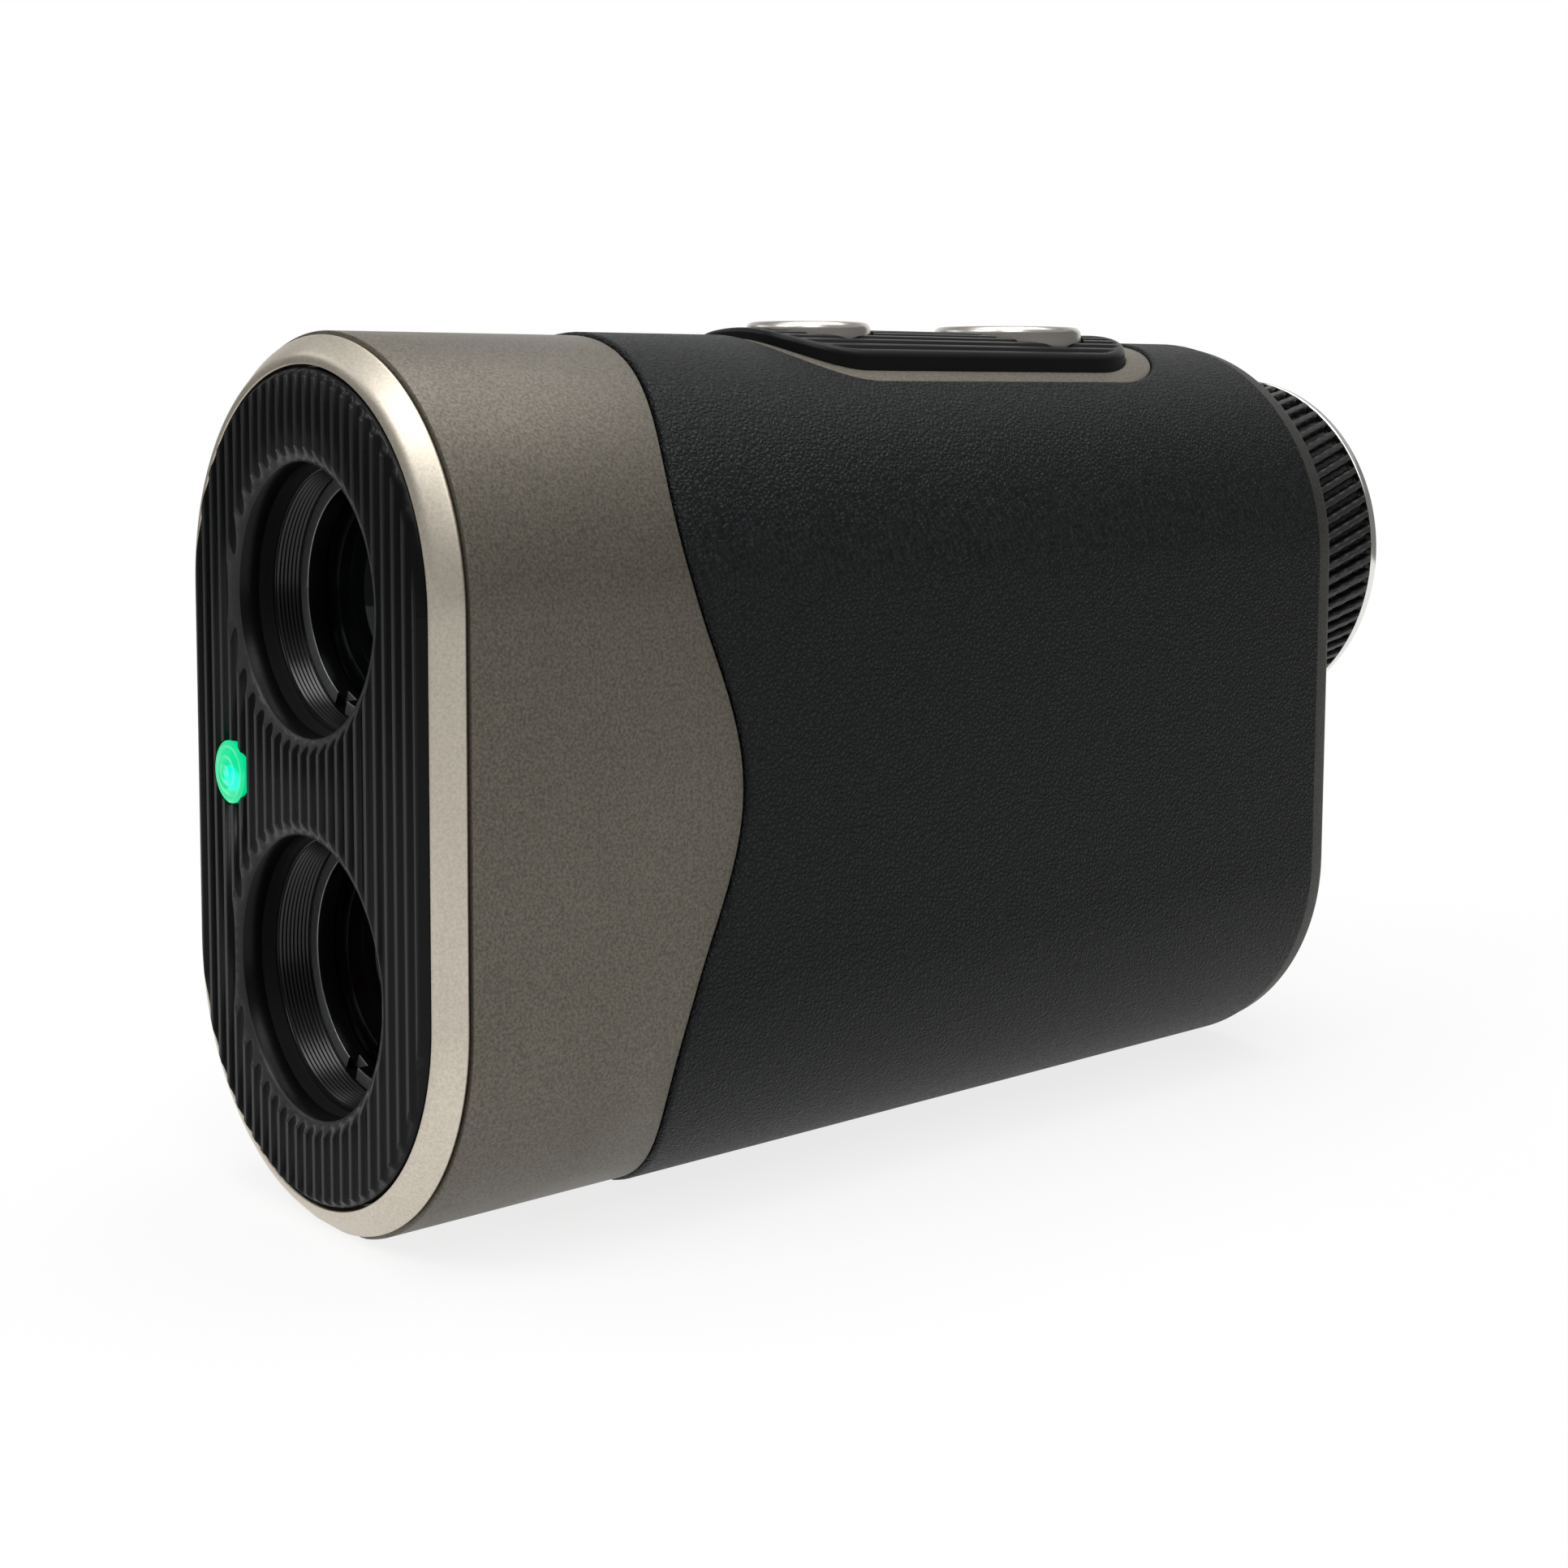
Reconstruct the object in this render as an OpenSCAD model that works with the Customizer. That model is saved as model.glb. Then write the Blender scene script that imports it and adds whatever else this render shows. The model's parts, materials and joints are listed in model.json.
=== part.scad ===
// Hand-held laser speed and range monocular, drawn piece by piece as it comes apart.
// The modules measure Y from the front lip back to the eyepiece and Z from mid-height;
// placed() then stands the part on its base with the middle of its length at the origin.

/* [Body] */
// Width of the body, which is also the diameter of its round top and bottom
body_w = 42; // [40:0.5:46]
// Height of the body
body_h = 72; // [71:0.5:80]
// Length from the front lip to the rear face
body_len = 102; // [100:1:112]
// Depth of the flat that the body stands on
base_cut = 0.5; // [0.4:0.1:0.8]
// Wall of the nose sleeve
skin_t = 1.5; // [1.2:0.1:1.8]
// Height of the grip wrap above the nose sleeve
wrap_proud = 0.3; // [0.1:0.05:0.5]
// Wall of the inner case halves
shell_t = 2; // [1.6:0.1:2.4]
// Clearance between pieces that are assembled into each other
fit_gap = 0.1; // [0.05:0.01:0.15]
// Clearance between pieces that run on each other
run_gap = 0.06; // [0.03:0.01:0.1]

/* [Wavy seam] */
// Distance of the seam behind the front lip, at the middle of its wave
seam_y = 24.25; // [20:0.25:28]
// Height of the wave
seam_wave = 3; // [1:0.25:4]
// Length of one wave
seam_pitch = 45; // [40:1:60]
// Open gap between nose and wrap
seam_gap = 0.3; // [0.2:0.05:0.5]

/* [Front] */
// Flat lip round the faceplate
lip_w = 0.65; // [0.4:0.05:1]
// Width of the bezel's bevel
bevel_w = 2; // [1.6:0.1:2.4]
// Depth of the bezel's bevel
bevel_d = 1.95; // [1.5:0.05:2.4]
// Width of the ledge that carries the faceplate
ledge_w = 1.2; // [0.8:0.1:1.5]
// Length of the bezel's spigot behind the lip
spigot_len = 6; // [5:0.5:7]
// Thickness of the faceplate
face_t = 2.4; // [2:0.1:3]
// Height of the faceplate above the lip
face_proud = 0.6; // [0.3:0.1:0.9]
// Open gap round the faceplate
face_gap = 0.2; // [0.1:0.05:0.3]
// Chamfer on the faceplate's edge
face_edge = 0.7; // [0.4:0.1:1]
// Distance between the faceplate's ribs
rib_pitch = 1.45; // [1.2:0.05:1.8]
// Depth of the grooves between the ribs
rib_depth = 0.4; // [0.3:0.05:0.45]
// Width of the cone round each lens opening
cone_w = 1.25; // [0.8:0.05:1.5]
// Depth of that cone
cone_d = 0.6; // [0.4:0.05:0.9]
// Diameter of the upper lens opening
upper_bore = 21.7; // [20:0.1:22.4]
// Diameter of the lower lens opening
lower_bore = 22.7; // [21:0.1:23.2]
// Diameter of the status light
led_d = 5.2; // [4:0.1:5.6]
// Distance of the status light from the middle
led_x = 11.9; // [11:0.1:12.4]
// Thickness of the gasket behind the faceplate
seal_t = 1.2; // [0.8:0.1:1.6]

/* [Lens tubes] */
// Distance between the two optical axes, on a body of the drawn height
axis_step = 30; // [29.6:0.1:31]
// Step from each lens opening to the tube behind it
bore_step = 0.5; // [0.3:0.05:0.8]
// Wall of the lens tubes
tube_wall = 2.2; // [1.8:0.1:2.4]
// Width of the tubes' front flange
flange_w = 1; // [0.8:0.1:1.2]
// Thickness of that flange
flange_t = 5; // [4:0.5:6]
// Thickness of the frame that carries both tubes
frame_t = 3; // [2:0.5:4]
// Length of the tubes behind the frame
tail_len = 19; // [16:0.5:22]
// Depth of the upper retaining ring behind the lip
upper_ring_d = 5.3; // [4:0.1:6]
// Depth of the lower retaining ring behind the lip
lower_ring_d = 6; // [5:0.1:8]
// Width of the retaining rings
ring_w = 1.2; // [0.9:0.1:2]
// Thickness of the retaining rings
ring_t = 1.6; // [1.2:0.1:2]
// Thickness of the front lenses
lens_t = 4; // [3.5:0.1:5]
// Radius of the front lenses' curve
lens_curve = 32; // [26:1:45]

/* [Button panel] */
// Width of the ribbed pad
pad_w = 20.5; // [19:0.25:22]
// Length of the pad
pad_len = 45.6; // [44:0.2:48]
// Distance of the pad behind the front lip
pad_y = 43; // [41:0.5:45]
// Height of the pad's crown above the body
pad_proud = 1; // [0.6:0.1:1.4]
// Radius of the pad's crown
pad_curve = 25; // [22:0.5:40]
// Corner radius at the pad's front
pad_front_r = 7; // [5:0.5:9]
// Corner radius at the pad's rear
pad_rear_r = 9; // [6:0.5:9.4]
// Distance between the pad's ribs
pad_rib_pitch = 1.4; // [1.2:0.05:1.8]
// Depth of the pad's grooves
pad_rib_depth = 0.3; // [0.2:0.05:0.4]
// Width of the frame beside the pad
trim_side = 1.8; // [1.4:0.1:2.2]
// Width of the frame behind the pad
trim_rear = 3; // [2:0.1:3.5]
// Diameter of the front button
power_d = 11.4; // [10:0.2:12]
// Diameter of the rear button
mode_d = 14.4; // [12:0.2:15]
// Distance of the front button behind the pad's front edge
power_y = 8.6; // [7.6:0.1:9.4]
// Distance of the rear button from the front button
mode_step = 25.7; // [24:0.1:27]
// Height of the buttons above the pad's crown
button_proud = 0.6; // [0.4:0.1:1]
// Travel of the buttons
button_travel = 0.6; // [0.4:0.05:0.8]
// Radius of the buttons' stems
stem_r = 2.5; // [2:0.1:3]

/* [Eyepiece] */
// Diameter of the ribbed ring
ring_d = 35.2; // [34:0.2:37]
// Length of the ribbed ring
ring_len = 10.6; // [9.5:0.1:12]
// Gap between the ribbed ring and the rear face
ring_gap = 0.6; // [0.4:0.1:1]
// Length of the bright end ring
end_ring_t = 1.1; // [0.8:0.1:1.6]
// Depth of the ring's grooves
knurl_depth = 0.55; // [0.4:0.05:0.7]
// Slant of the ring's grooves in degrees
knurl_slant = 18; // [10:1:24]
// Distance between the ring's grooves
knurl_pitch = 1.58; // [1.4:0.02:2]
// Inside radius of the eyepiece tube
eye_bore_r = 12.7; // [12.2:0.1:13]
// Wall of the eyepiece tube
eye_wall = 1.3; // [1.1:0.1:1.5]
// Length of the eyepiece tube inside the body
eye_inside = 16; // [13:0.5:18]
// Travel of the ocular cell each way
eye_travel = 1.2; // [0.8:0.1:1.4]

/* [Battery] */
// Diameter of the cell
cell_d = 15.6; // [14:0.1:16.4]
// Length of the cell
cell_len = 27; // [25:0.5:28]
// Diameter of the cap's flange
cap_d = 22.4; // [21.8:0.2:24]
// Thickness of the cap's flange
cap_t = 1.8; // [1.6:0.1:2.4]
// Length of the cap's screw
cap_screw_len = 5; // [4.5:0.25:6]

/* [Tripod socket] */
// Major radius of the tripod thread
tripod_r = 3.175; // [2.5:0.005:3.2]
// Length of the tripod insert
tripod_len = 7; // [6:0.5:7.5]
// Distance of the tripod socket behind the front lip
tripod_y = 56; // [54:0.5:57]

/* [Hidden] */
$fn = 96;

// How far a cutting tool runs past what it cuts
over = 1;
// Height of the status light's dome above the faceplate
led_dome = 0.4;
// Body that the optics and the button panel are drawn for: they grow and move with the real one
drawn_w = 42;
drawn_h = 72;
drawn_len = 102;
optics_scale = body_h / drawn_h;
axis_z = axis_step / 2 * optics_scale;
pad_front = pad_y * body_len / drawn_len;
// Body, with each inset measured inwards from the nose sleeve's surface
half_w = body_w / 2;
arc_z = (body_h - body_w) / 2;
base_z = base_cut - body_h / 2;
eye_len = ring_gap + ring_len + end_ring_t;
front_reach = face_proud + led_dome;
total_len = front_reach + body_len + eye_len;
shell_out = skin_t + fit_gap;
shell_in = shell_out + shell_t;
cavity_in = shell_in + fit_gap;
cavity_r = half_w - shell_in;
rear_trim_t = 2;
rear_trim_w = 2;
rear_plate_r = half_w - rear_trim_w - fit_gap;
rear_trim_edge = 0.6;
wrap_rear = body_len - rear_trim_t;
bezel_seam = 0.15;
// Front stack, from the faceplate back to the tubes' ends
face_in = bevel_w + lip_w + face_gap;
ledge_in = bevel_w + lip_w + ledge_w;
face_back = face_t - face_proud;
tube_front = face_back + seal_t;
frame_front = tube_front + flange_t;
frame_back = frame_front + frame_t;
tube_end = frame_back + tail_len;
frame_groove = 0.8;
groove_r = 0.55;
upper_r = upper_bore / 2 * optics_scale;
lower_r = lower_bore / 2 * optics_scale;
notch_w = 1.6;
notch_d = 0.9;
notch_turn = 67;
lens_seat = 1.5;
// Status light
led_r = led_d / 2;
led_at = led_x * body_w / drawn_w;
led_flange = 0.6;
led_flange_t = 0.8;
led_chip_w = 3;
led_chip_t = 1;
led_board_w = 6;
led_board_t = 0.8;
led_chip_y = face_back + led_flange_t;
led_board_y = led_chip_y + led_chip_t;
// Sight channel
carrier_len = 26;
carrier_wall = 3;
carrier_rise = axis_z * 3 / 5;
carrier_foot = 2.4;
carrier_y = tube_end + fit_gap;
carrier_top = axis_z + carrier_rise;
prism_half = 9;
prism_rise = axis_z / 2;
prism_bevel = 5;
light_r = 6.5;
laser_r = 2.8;
laser_base_t = 1.2;
laser_gap = 1.1;
laser_back = 18;
display_y = carrier_y + carrier_len + fit_gap;
display_len = 6;
panel_half = 8;
panel_t = 1.5;
// Receiving channel
sensor_len = 9;
sensor_r = 8.5;
sensor_flange_t = 1;
sensor_y = tube_end + fit_gap;
// Case screws
boss_r = 2.6;
screw_r = 1;
head_r = 1.9;
head_t = 1.2;
drive_w = 0.5;
drive_d = 0.6;
screw_fit = 0.05;
boss_bite = 0.4;
boss_back = 6;
case_boss_y = tube_end + boss_back;
case_boss_z = carrier_top + boss_r + boss_bite;
case_screw_half = 7;
// Boards
board_t = 1.2;
board_bite = 0.6;
button_board_bite = 0.3;
main_board_front = 3;
main_board_back = 14;
main_board_y = tube_end + main_board_front;
main_board_rear = body_len - main_board_back;
chip_w = 12;
chip_t = 1.2;
chip_back = 14;
// Button panel
trim_gap = 0.15;
trim_front = 2;
pad_gap = 0.1;
body_top = body_h / 2;
crown_z = body_top + pad_proud;
button_gap = 0.3;
button_top = crown_z + button_proud;
button_base = body_top - shell_out + button_travel + button_gap;
button_chamfer = 0.6;
button_dish = 0.3;
button_rim = 1.3;
collar_w = 0.7;
collar_r = stem_r + collar_w;
collar_t = 0.6;
collar_top = arc_z + sqrt(cavity_r * cavity_r - collar_r * collar_r) - fit_gap;
stem_end = collar_top - collar_t;
dome_r = 2.4;
dome_t = 0.8;
dome_gap = 0.1;
button_board_top = stem_end - button_travel - dome_gap - dome_t;
button_board_low = button_board_top - board_t;
button_board_mid = button_board_top - board_t / 2 - arc_z;
button_board_half = sqrt(cavity_r * cavity_r - button_board_mid * button_board_mid)
    + button_board_bite;
power_at = pad_front + power_y;
mode_at = power_at + mode_step;
board_margin = 5;
// Eyepiece
ring_r = ring_d / 2 * optics_scale;
ring_y = body_len + ring_gap;
ring_end = ring_y + ring_len;
knurl_slot = knurl_pitch / 2;
knurl_count = round(2 * PI * ring_r / knurl_pitch);
eye_r = eye_bore_r * optics_scale;
eye_out_r = eye_r + eye_wall;
eye_flange_w = 1.2;
eye_flange_t = 2;
eye_set_in = 0.8;
eye_end = ring_end - eye_set_in;
eye_front = wrap_rear - eye_inside;
clip_t = 0.8;
clip_w = 0.8;
clip_bite = 0.5;
clip_gap = 0.2;
clip_y = eye_end - clip_t - clip_gap;
clip_space_r = eye_out_r + clip_w + clip_gap;
pin_r = 1;
pin_back = 3.6;
pin_y = ring_y + pin_back;
pin_reach = 0.9;
pin_groove = 0.3;
cell_wall = 1.6;
cell_set_in = 4;
cell_clear = 1;
cell_front = eye_front + cell_set_in;
cell_rear = clip_y - eye_travel - cell_clear;
ocular_t = 4;
ocular_ring_t = 1.2;
ocular_curve = 26;
end_ring_w = 2.4;
cup_w = 1.7;
cup_bore_r = eye_r - cup_w;
// Battery
tube_gap = 0.3;
tube_t = 1.5;
cap_wall = 0.9;
cell_r = cell_d / 2 * optics_scale;
cap_screw_r = cell_r + tube_gap + cap_wall;
tube_r = cap_screw_r + tube_t;
cap_front = wrap_rear + rear_trim_t - cap_screw_len;
contact_t = 3;
contact_in = 2.8;
contact_r = cell_r - contact_in;
cap_contact_gap = 0.2;
cell_back = cap_front - contact_t - cap_contact_gap;
spring_len = 4;
tube_floor = 2;
tube_y = cell_back - cell_len - spring_len - tube_floor;
spring_in = 2.3;
spring_r = cell_r - spring_in;
spring_t = 1;
cap_seal_t = 0.6;
cap_gap = 0.05;
cap_y = body_len + cap_seal_t + cap_gap;
cap_r = cell_r + (cap_d - cell_d) / 2;
slot_w = 1.8;
slot_d = 1;
slot_end = 3.4;
grip_count = 24;
grip_r = 0.7;
// Rear screws, beside the eyepiece and below the battery cap
rear_side_edge = 3.5;
rear_low_edge = 3;
rear_side_x = rear_plate_r - head_r - rear_side_edge;
rear_low_turn = 40;
rear_low_r = rear_plate_r - head_r - rear_low_edge;
rear_low_x = rear_low_r * sin(rear_low_turn);
rear_low_z = -arc_z - rear_low_r * cos(rear_low_turn);
rear_boss_len = 8;
web_half = boss_r * 3 / 4;
rear_spots = [for (s = [-1, 1]) each [[s * rear_side_x, 0], [s * rear_low_x, rear_low_z]]];
// Tripod socket
insert_wall = 1.5;
insert_r = tripod_r + insert_wall;
insert_boss = 2;

// Distance of the wavy seam behind the lip, at height z
function seam_at(z) = seam_y + seam_wave * cos(360 * z / seam_pitch);

// Depth of a spherical face at distance r from its axis
function sag(curve, r) = curve - sqrt(curve * curve - r * r);

// Stands the part on its base, with the middle of its length at the origin
module placed() {
    translate([0, front_reach - total_len / 2, -base_z]) children();
}

// Body outline, inset from the nose sleeve's surface
module outline(inset) {
    for (s = [-1, 1]) translate([0, s * arc_z]) circle(half_w - inset);
    square([2 * (half_w - inset), 2 * arc_z], center = true);
}

// Body outline as a solid from y0 to y1
module slab(inset, y0, y1) {
    translate([0, y1, 0]) rotate([90, 0, 0]) linear_extrude(y1 - y0) outline(inset);
}

// Sweeps a profile, drawn as radius and Y, round the body outline
module around_body() {
    for (s = [0, 1]) {
        mirror([s, 0, 0]) linear_extrude(2 * arc_z, center = true) children();
        mirror([0, 0, s]) translate([0, 0, -arc_z]) rotate([-90, 0, 0])
            rotate_extrude(angle = 180) children();
    }
}

// Round bar along Y
module rod(r, y0, y1) {
    translate([0, y0, 0]) rotate([-90, 0, 0]) cylinder(h = y1 - y0, r = r);
}

// Round tube along Y
module pipe(r_out, r_in, y0, y1) {
    difference() {
        rod(r_out, y0, y1);
        rod(r_in, y0 - over, y1 + over);
    }
}

// Block from low to high corner
module block(low, high) {
    translate(low) cube(high - low);
}

module upper() {
    translate([0, 0, axis_z]) children();
}

module lower() {
    translate([0, 0, -axis_z]) children();
}

// Everything below the flat that the part stands on
module below_base() {
    block([-body_w, -over, base_z - body_h], [body_w, total_len + over, base_z]);
}

// Everything behind the wavy seam, moved back by gap
module behind_seam(gap) {
    steps = 60;
    reach = body_h / 2 + over;
    wave = [for (i = [0:steps]) let (z = reach * (2 * i / steps - 1)) [seam_at(z) + gap, z]];
    rotate([90, 0, 90]) linear_extrude(2 * body_w, center = true)
        polygon(concat(wave, [[total_len, reach], [total_len, -reach]]));
}

// Plan of the button panel, grown from the pad's outline
module panel(side, front, rear) {
    half = pad_w / 2 + side;
    y0 = pad_front - front;
    y1 = pad_front + pad_len + rear;
    front_r = pad_front_r + side;
    rear_r = pad_rear_r + side;
    for (s = [-1, 1]) {
        translate([s * (half - front_r), y0 + front_r]) circle(front_r);
        translate([s * (half - rear_r), y1 - rear_r]) circle(rear_r);
    }
    translate([-half, y0 + front_r]) square([2 * half, y1 - y0 - front_r - rear_r]);
    translate([front_r - half, y0]) square([2 * (half - front_r), front_r]);
    translate([rear_r - half, y1 - rear_r]) square([2 * (half - rear_r), rear_r]);
}

// That plan as a solid from the middle of the round top up
module panel_solid(side, front, rear) {
    translate([0, 0, arc_z]) linear_extrude(body_h / 2) panel(side, front, rear);
}

module front_bezel() {
    lip_r = half_w - bevel_w;
    face_r = lip_r - lip_w;
    placed() color("#cfc4b4") difference() {
        around_body() polygon([[half_w, bevel_d], [lip_r, 0], [face_r, 0], [face_r, face_back],
            [half_w - ledge_in, face_back], [half_w - ledge_in, spigot_len],
            [half_w - shell_out, spigot_len], [half_w - shell_out, bevel_d]]);
        below_base();
    }
}

// Faceplate with its chamfered edge, before it is grooved and pierced
module face_blank() {
    r = half_w - face_in;
    slab(face_in + face_edge, -face_proud, face_back);
    around_body() polygon([[r - face_edge - over, -face_proud], [r - face_edge, -face_proud],
        [r, face_edge - face_proud], [r, face_back], [r - face_edge - over, face_back]]);
}

// Lens opening with its cone, cut through the faceplate
module lens_opening(r) {
    rod(r, -face_proud - over, face_back + over);
    translate([0, -face_proud, 0]) rotate([-90, 0, 0]) cylinder(h = cone_d, r1 = r + cone_w, r2 = r);
}

module faceplate() {
    pairs = floor((half_w - face_in - face_edge) / rib_pitch - 0.5);
    placed() color("#232426") difference() {
        face_blank();
        for (i = [-pairs - 1:pairs])
            translate([(i + 0.5) * rib_pitch, rib_depth - groove_r - face_proud, 0])
                cylinder(h = body_h, r = groove_r, center = true, $fn = 32);
        upper() lens_opening(upper_r);
        lower() lens_opening(lower_r);
        translate([-led_at, 0, 0]) rod(led_r + fit_gap, -face_proud - over, face_back + over);
    }
}

module front_seal() {
    placed() color("#1a1a1a") difference() {
        slab(ledge_in + fit_gap, face_back, tube_front);
        upper() rod(upper_r, face_back - over, tube_front + over);
        lower() rod(lower_r, face_back - over, tube_front + over);
        translate([-led_at, 0, 0]) rod(led_r + led_flange + fit_gap, face_back - over, tube_front + over);
    }
}

module led_lens() {
    placed() color("#18e08a") translate([-led_at, 0, 0]) {
        rod(led_r, -face_proud - led_dome, led_chip_y);
        rod(led_r + led_flange, face_back, led_chip_y);
    }
}

module led_chip() {
    half = led_chip_w / 2;
    placed() color("#e8e3c8") translate([-led_at, 0, 0])
        block([-half, led_chip_y, -half], [half, led_board_y, half]);
}

module led_board() {
    half = led_board_w / 2;
    placed() color("#1f5b35") translate([-led_at, 0, 0])
        block([-half, led_board_y, -half], [half, led_board_y + led_board_t, half]);
}

module nose_housing() {
    placed() color("#6f675d") difference() {
        slab(0, bevel_d + bezel_seam, seam_y + seam_wave + over);
        slab(skin_t, 0, total_len);
        behind_seam(0);
        below_base();
    }
}

module grip_wrap() {
    placed() color("#242628") difference() {
        intersection() {
            slab(-wrap_proud, seam_y - seam_wave - over, wrap_rear);
            behind_seam(seam_gap);
        }
        slab(skin_t, 0, total_len);
        panel_solid(trim_side + trim_gap, trim_front + trim_gap, trim_rear + trim_gap);
        translate([0, tripod_y, base_z - over]) cylinder(h = tripod_len, r = insert_r + seam_gap);
        below_base();
    }
}

module rear_trim() {
    placed() color("#6f675d") difference() {
        around_body() polygon([[half_w, wrap_rear], [half_w, body_len - rear_trim_edge],
            [half_w - rear_trim_edge, body_len], [half_w - rear_trim_w, body_len],
            [half_w - rear_trim_w, wrap_rear]]);
        below_base();
    }
}

module rear_plate() {
    placed() color("#26282a") difference() {
        slab(rear_trim_w + fit_gap, wrap_rear, body_len);
        upper() rod(eye_out_r + fit_gap, wrap_rear - over, body_len + over);
        lower() rod(cap_screw_r + run_gap, wrap_rear - over, body_len + over);
        at_rear_screws() {
            rod(screw_r + screw_fit, wrap_rear - over, body_len + over);
            rod(head_r + fit_gap, body_len - head_t, body_len + over);
        }
    }
}

module at_rear_screws() {
    for (spot = rear_spots) translate([spot[0], 0, spot[1]]) children();
}

module rear_screws() {
    tip = wrap_rear - rear_boss_len + over;
    placed() color("#8a8d90") at_rear_screws() difference() {
        union() {
            rod(screw_r, tip, body_len);
            rod(head_r, body_len - head_t, body_len);
        }
        for (a = [0, 90]) rotate([0, a, 0])
            block([-screw_r, body_len - drive_d, -drive_w / 2], [screw_r, body_len + over, drive_w / 2]);
    }
}

// Inner case before it is split into two halves
module case_body() {
    difference() {
        union() {
            difference() {
                slab(shell_out, spigot_len, wrap_rear);
                slab(shell_in, spigot_len - over, wrap_rear + over);
            }
            intersection() {
                slab(shell_out + shell_t / 2, spigot_len, wrap_rear);
                case_bosses();
            }
        }
        slab(shell_in - frame_groove, frame_front, frame_back);
        main_board_space(fit_gap);
        button_board_space(fit_gap);
        for (y = [power_at, mode_at]) translate([0, y, arc_z])
            cylinder(h = body_h, r = stem_r + fit_gap);
        translate([0, tripod_y, base_z - over]) cylinder(h = tripod_len + over, r = insert_r);
        at_rear_screws() rod(screw_r + screw_fit, wrap_rear - rear_boss_len, wrap_rear + over);
        at_case_screws() {
            rotate([0, 90, 0])
                cylinder(h = 2 * case_screw_half, r = screw_r + screw_fit, center = true);
            translate([-body_w, 0, 0]) rotate([0, 90, 0])
                cylinder(h = body_w - case_screw_half + head_t, r = head_r + fit_gap);
        }
    }
}

module case_bosses() {
    at_case_screws() rotate([0, 90, 0]) cylinder(h = body_w, r = boss_r, center = true);
    at_rear_screws() rod(boss_r, wrap_rear - rear_boss_len, wrap_rear);
    for (s = [0, 1]) mirror([s, 0, 0]) {
        rear_web(rear_side_x);
        translate([0, 0, -arc_z]) rotate([0, 90 - rear_low_turn, 0]) rear_web(rear_low_r);
    }
    translate([0, tripod_y, base_z]) cylinder(h = tripod_len, r = insert_r + insert_boss);
}

// Web from a rear boss at distance r out to the wall
module rear_web(r) {
    block([r, wrap_rear - rear_boss_len, -web_half], [half_w, wrap_rear, web_half]);
}

module at_case_screws() {
    for (s = [-1, 1]) translate([0, case_boss_y, s * case_boss_z]) children();
}

module left_shell() {
    placed() color("#3a3d40") difference() {
        case_body();
        block([0, 0, -body_h], [body_w, total_len, body_h]);
    }
}

module right_shell() {
    placed() color("#3f4245") difference() {
        case_body();
        block([-body_w, 0, -body_h], [0, total_len, body_h]);
    }
}

module shell_screws() {
    placed() color("#8a8d90") at_case_screws() rotate([0, 90, 0]) {
        cylinder(h = 2 * case_screw_half - over, r = screw_r, center = true);
        translate([0, 0, -case_screw_half]) cylinder(h = head_t, r = head_r);
    }
}

module front_frame() {
    placed() color("#4a4d50") difference() {
        slab(shell_in - frame_groove + fit_gap, frame_front, frame_back);
        upper() rod(upper_r + tube_wall + fit_gap, frame_front - over, frame_back + over);
        lower() rod(lower_r + tube_wall + fit_gap, frame_front - over, frame_back + over);
    }
}

// Distance from the lip to the front vertex of the lens behind a retaining ring
function lens_at(r, ring_depth) =
    ring_depth + ring_t + screw_fit - sag(lens_curve, r - bore_step - ring_w);

module lens_tube(r, ring_depth) {
    seat = lens_at(r, ring_depth) + lens_t;
    difference() {
        union() {
            rod(r + tube_wall + flange_w, tube_front, frame_front);
            rod(r + tube_wall, tube_front, tube_end);
        }
        rod(r - bore_step, tube_front - over, seat);
        rod(r - bore_step - lens_seat, tube_front, tube_end + over);
    }
}

module front_lens(r, ring_depth) {
    vertex = lens_at(r, ring_depth);
    intersection() {
        rod(r - bore_step - screw_fit, vertex, vertex + lens_t);
        translate([0, vertex + lens_curve, 0]) sphere(lens_curve);
    }
}

module retaining_ring(r, ring_depth) {
    difference() {
        pipe(r - bore_step - screw_fit, r - bore_step - ring_w, ring_depth, ring_depth + ring_t);
        rotate([0, -notch_turn, 0])
            block([-body_w, ring_depth - over, -notch_w / 2], [body_w, ring_depth + notch_d, notch_w / 2]);
    }
}

module objective_barrel() {
    placed() color("#202224") upper() lens_tube(upper_r, upper_ring_d);
}

module objective_lens() {
    placed() color("#8aa6b4") upper() front_lens(upper_r, upper_ring_d);
}

module objective_retainer() {
    placed() color("#34373a") upper() retaining_ring(upper_r, upper_ring_d);
}

module receiver_barrel() {
    placed() color("#202224") lower() lens_tube(lower_r, lower_ring_d);
}

module receiver_lens() {
    placed() color("#7d3a3f") lower() front_lens(lower_r, lower_ring_d);
}

module receiver_retainer() {
    placed() color("#34373a") lower() retaining_ring(lower_r, lower_ring_d);
}

// Upper half of the cavity, from the carriers' foot to their top
module sight_plug(y0, y1) {
    intersection() {
        slab(cavity_in, y0, y1);
        block([-body_w, y0 - over, carrier_foot], [body_w, y1 + over, carrier_top]);
    }
}

module prism_carrier() {
    y1 = carrier_y + carrier_len;
    placed() color("#2c2f31") difference() {
        sight_plug(carrier_y, y1);
        block([-prism_half - fit_gap, carrier_y + carrier_wall, axis_z - prism_rise],
            [prism_half + fit_gap, y1 - carrier_wall, carrier_top + over]);
        upper() rod(light_r, carrier_y - over, y1 + over);
    }
}

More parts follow.
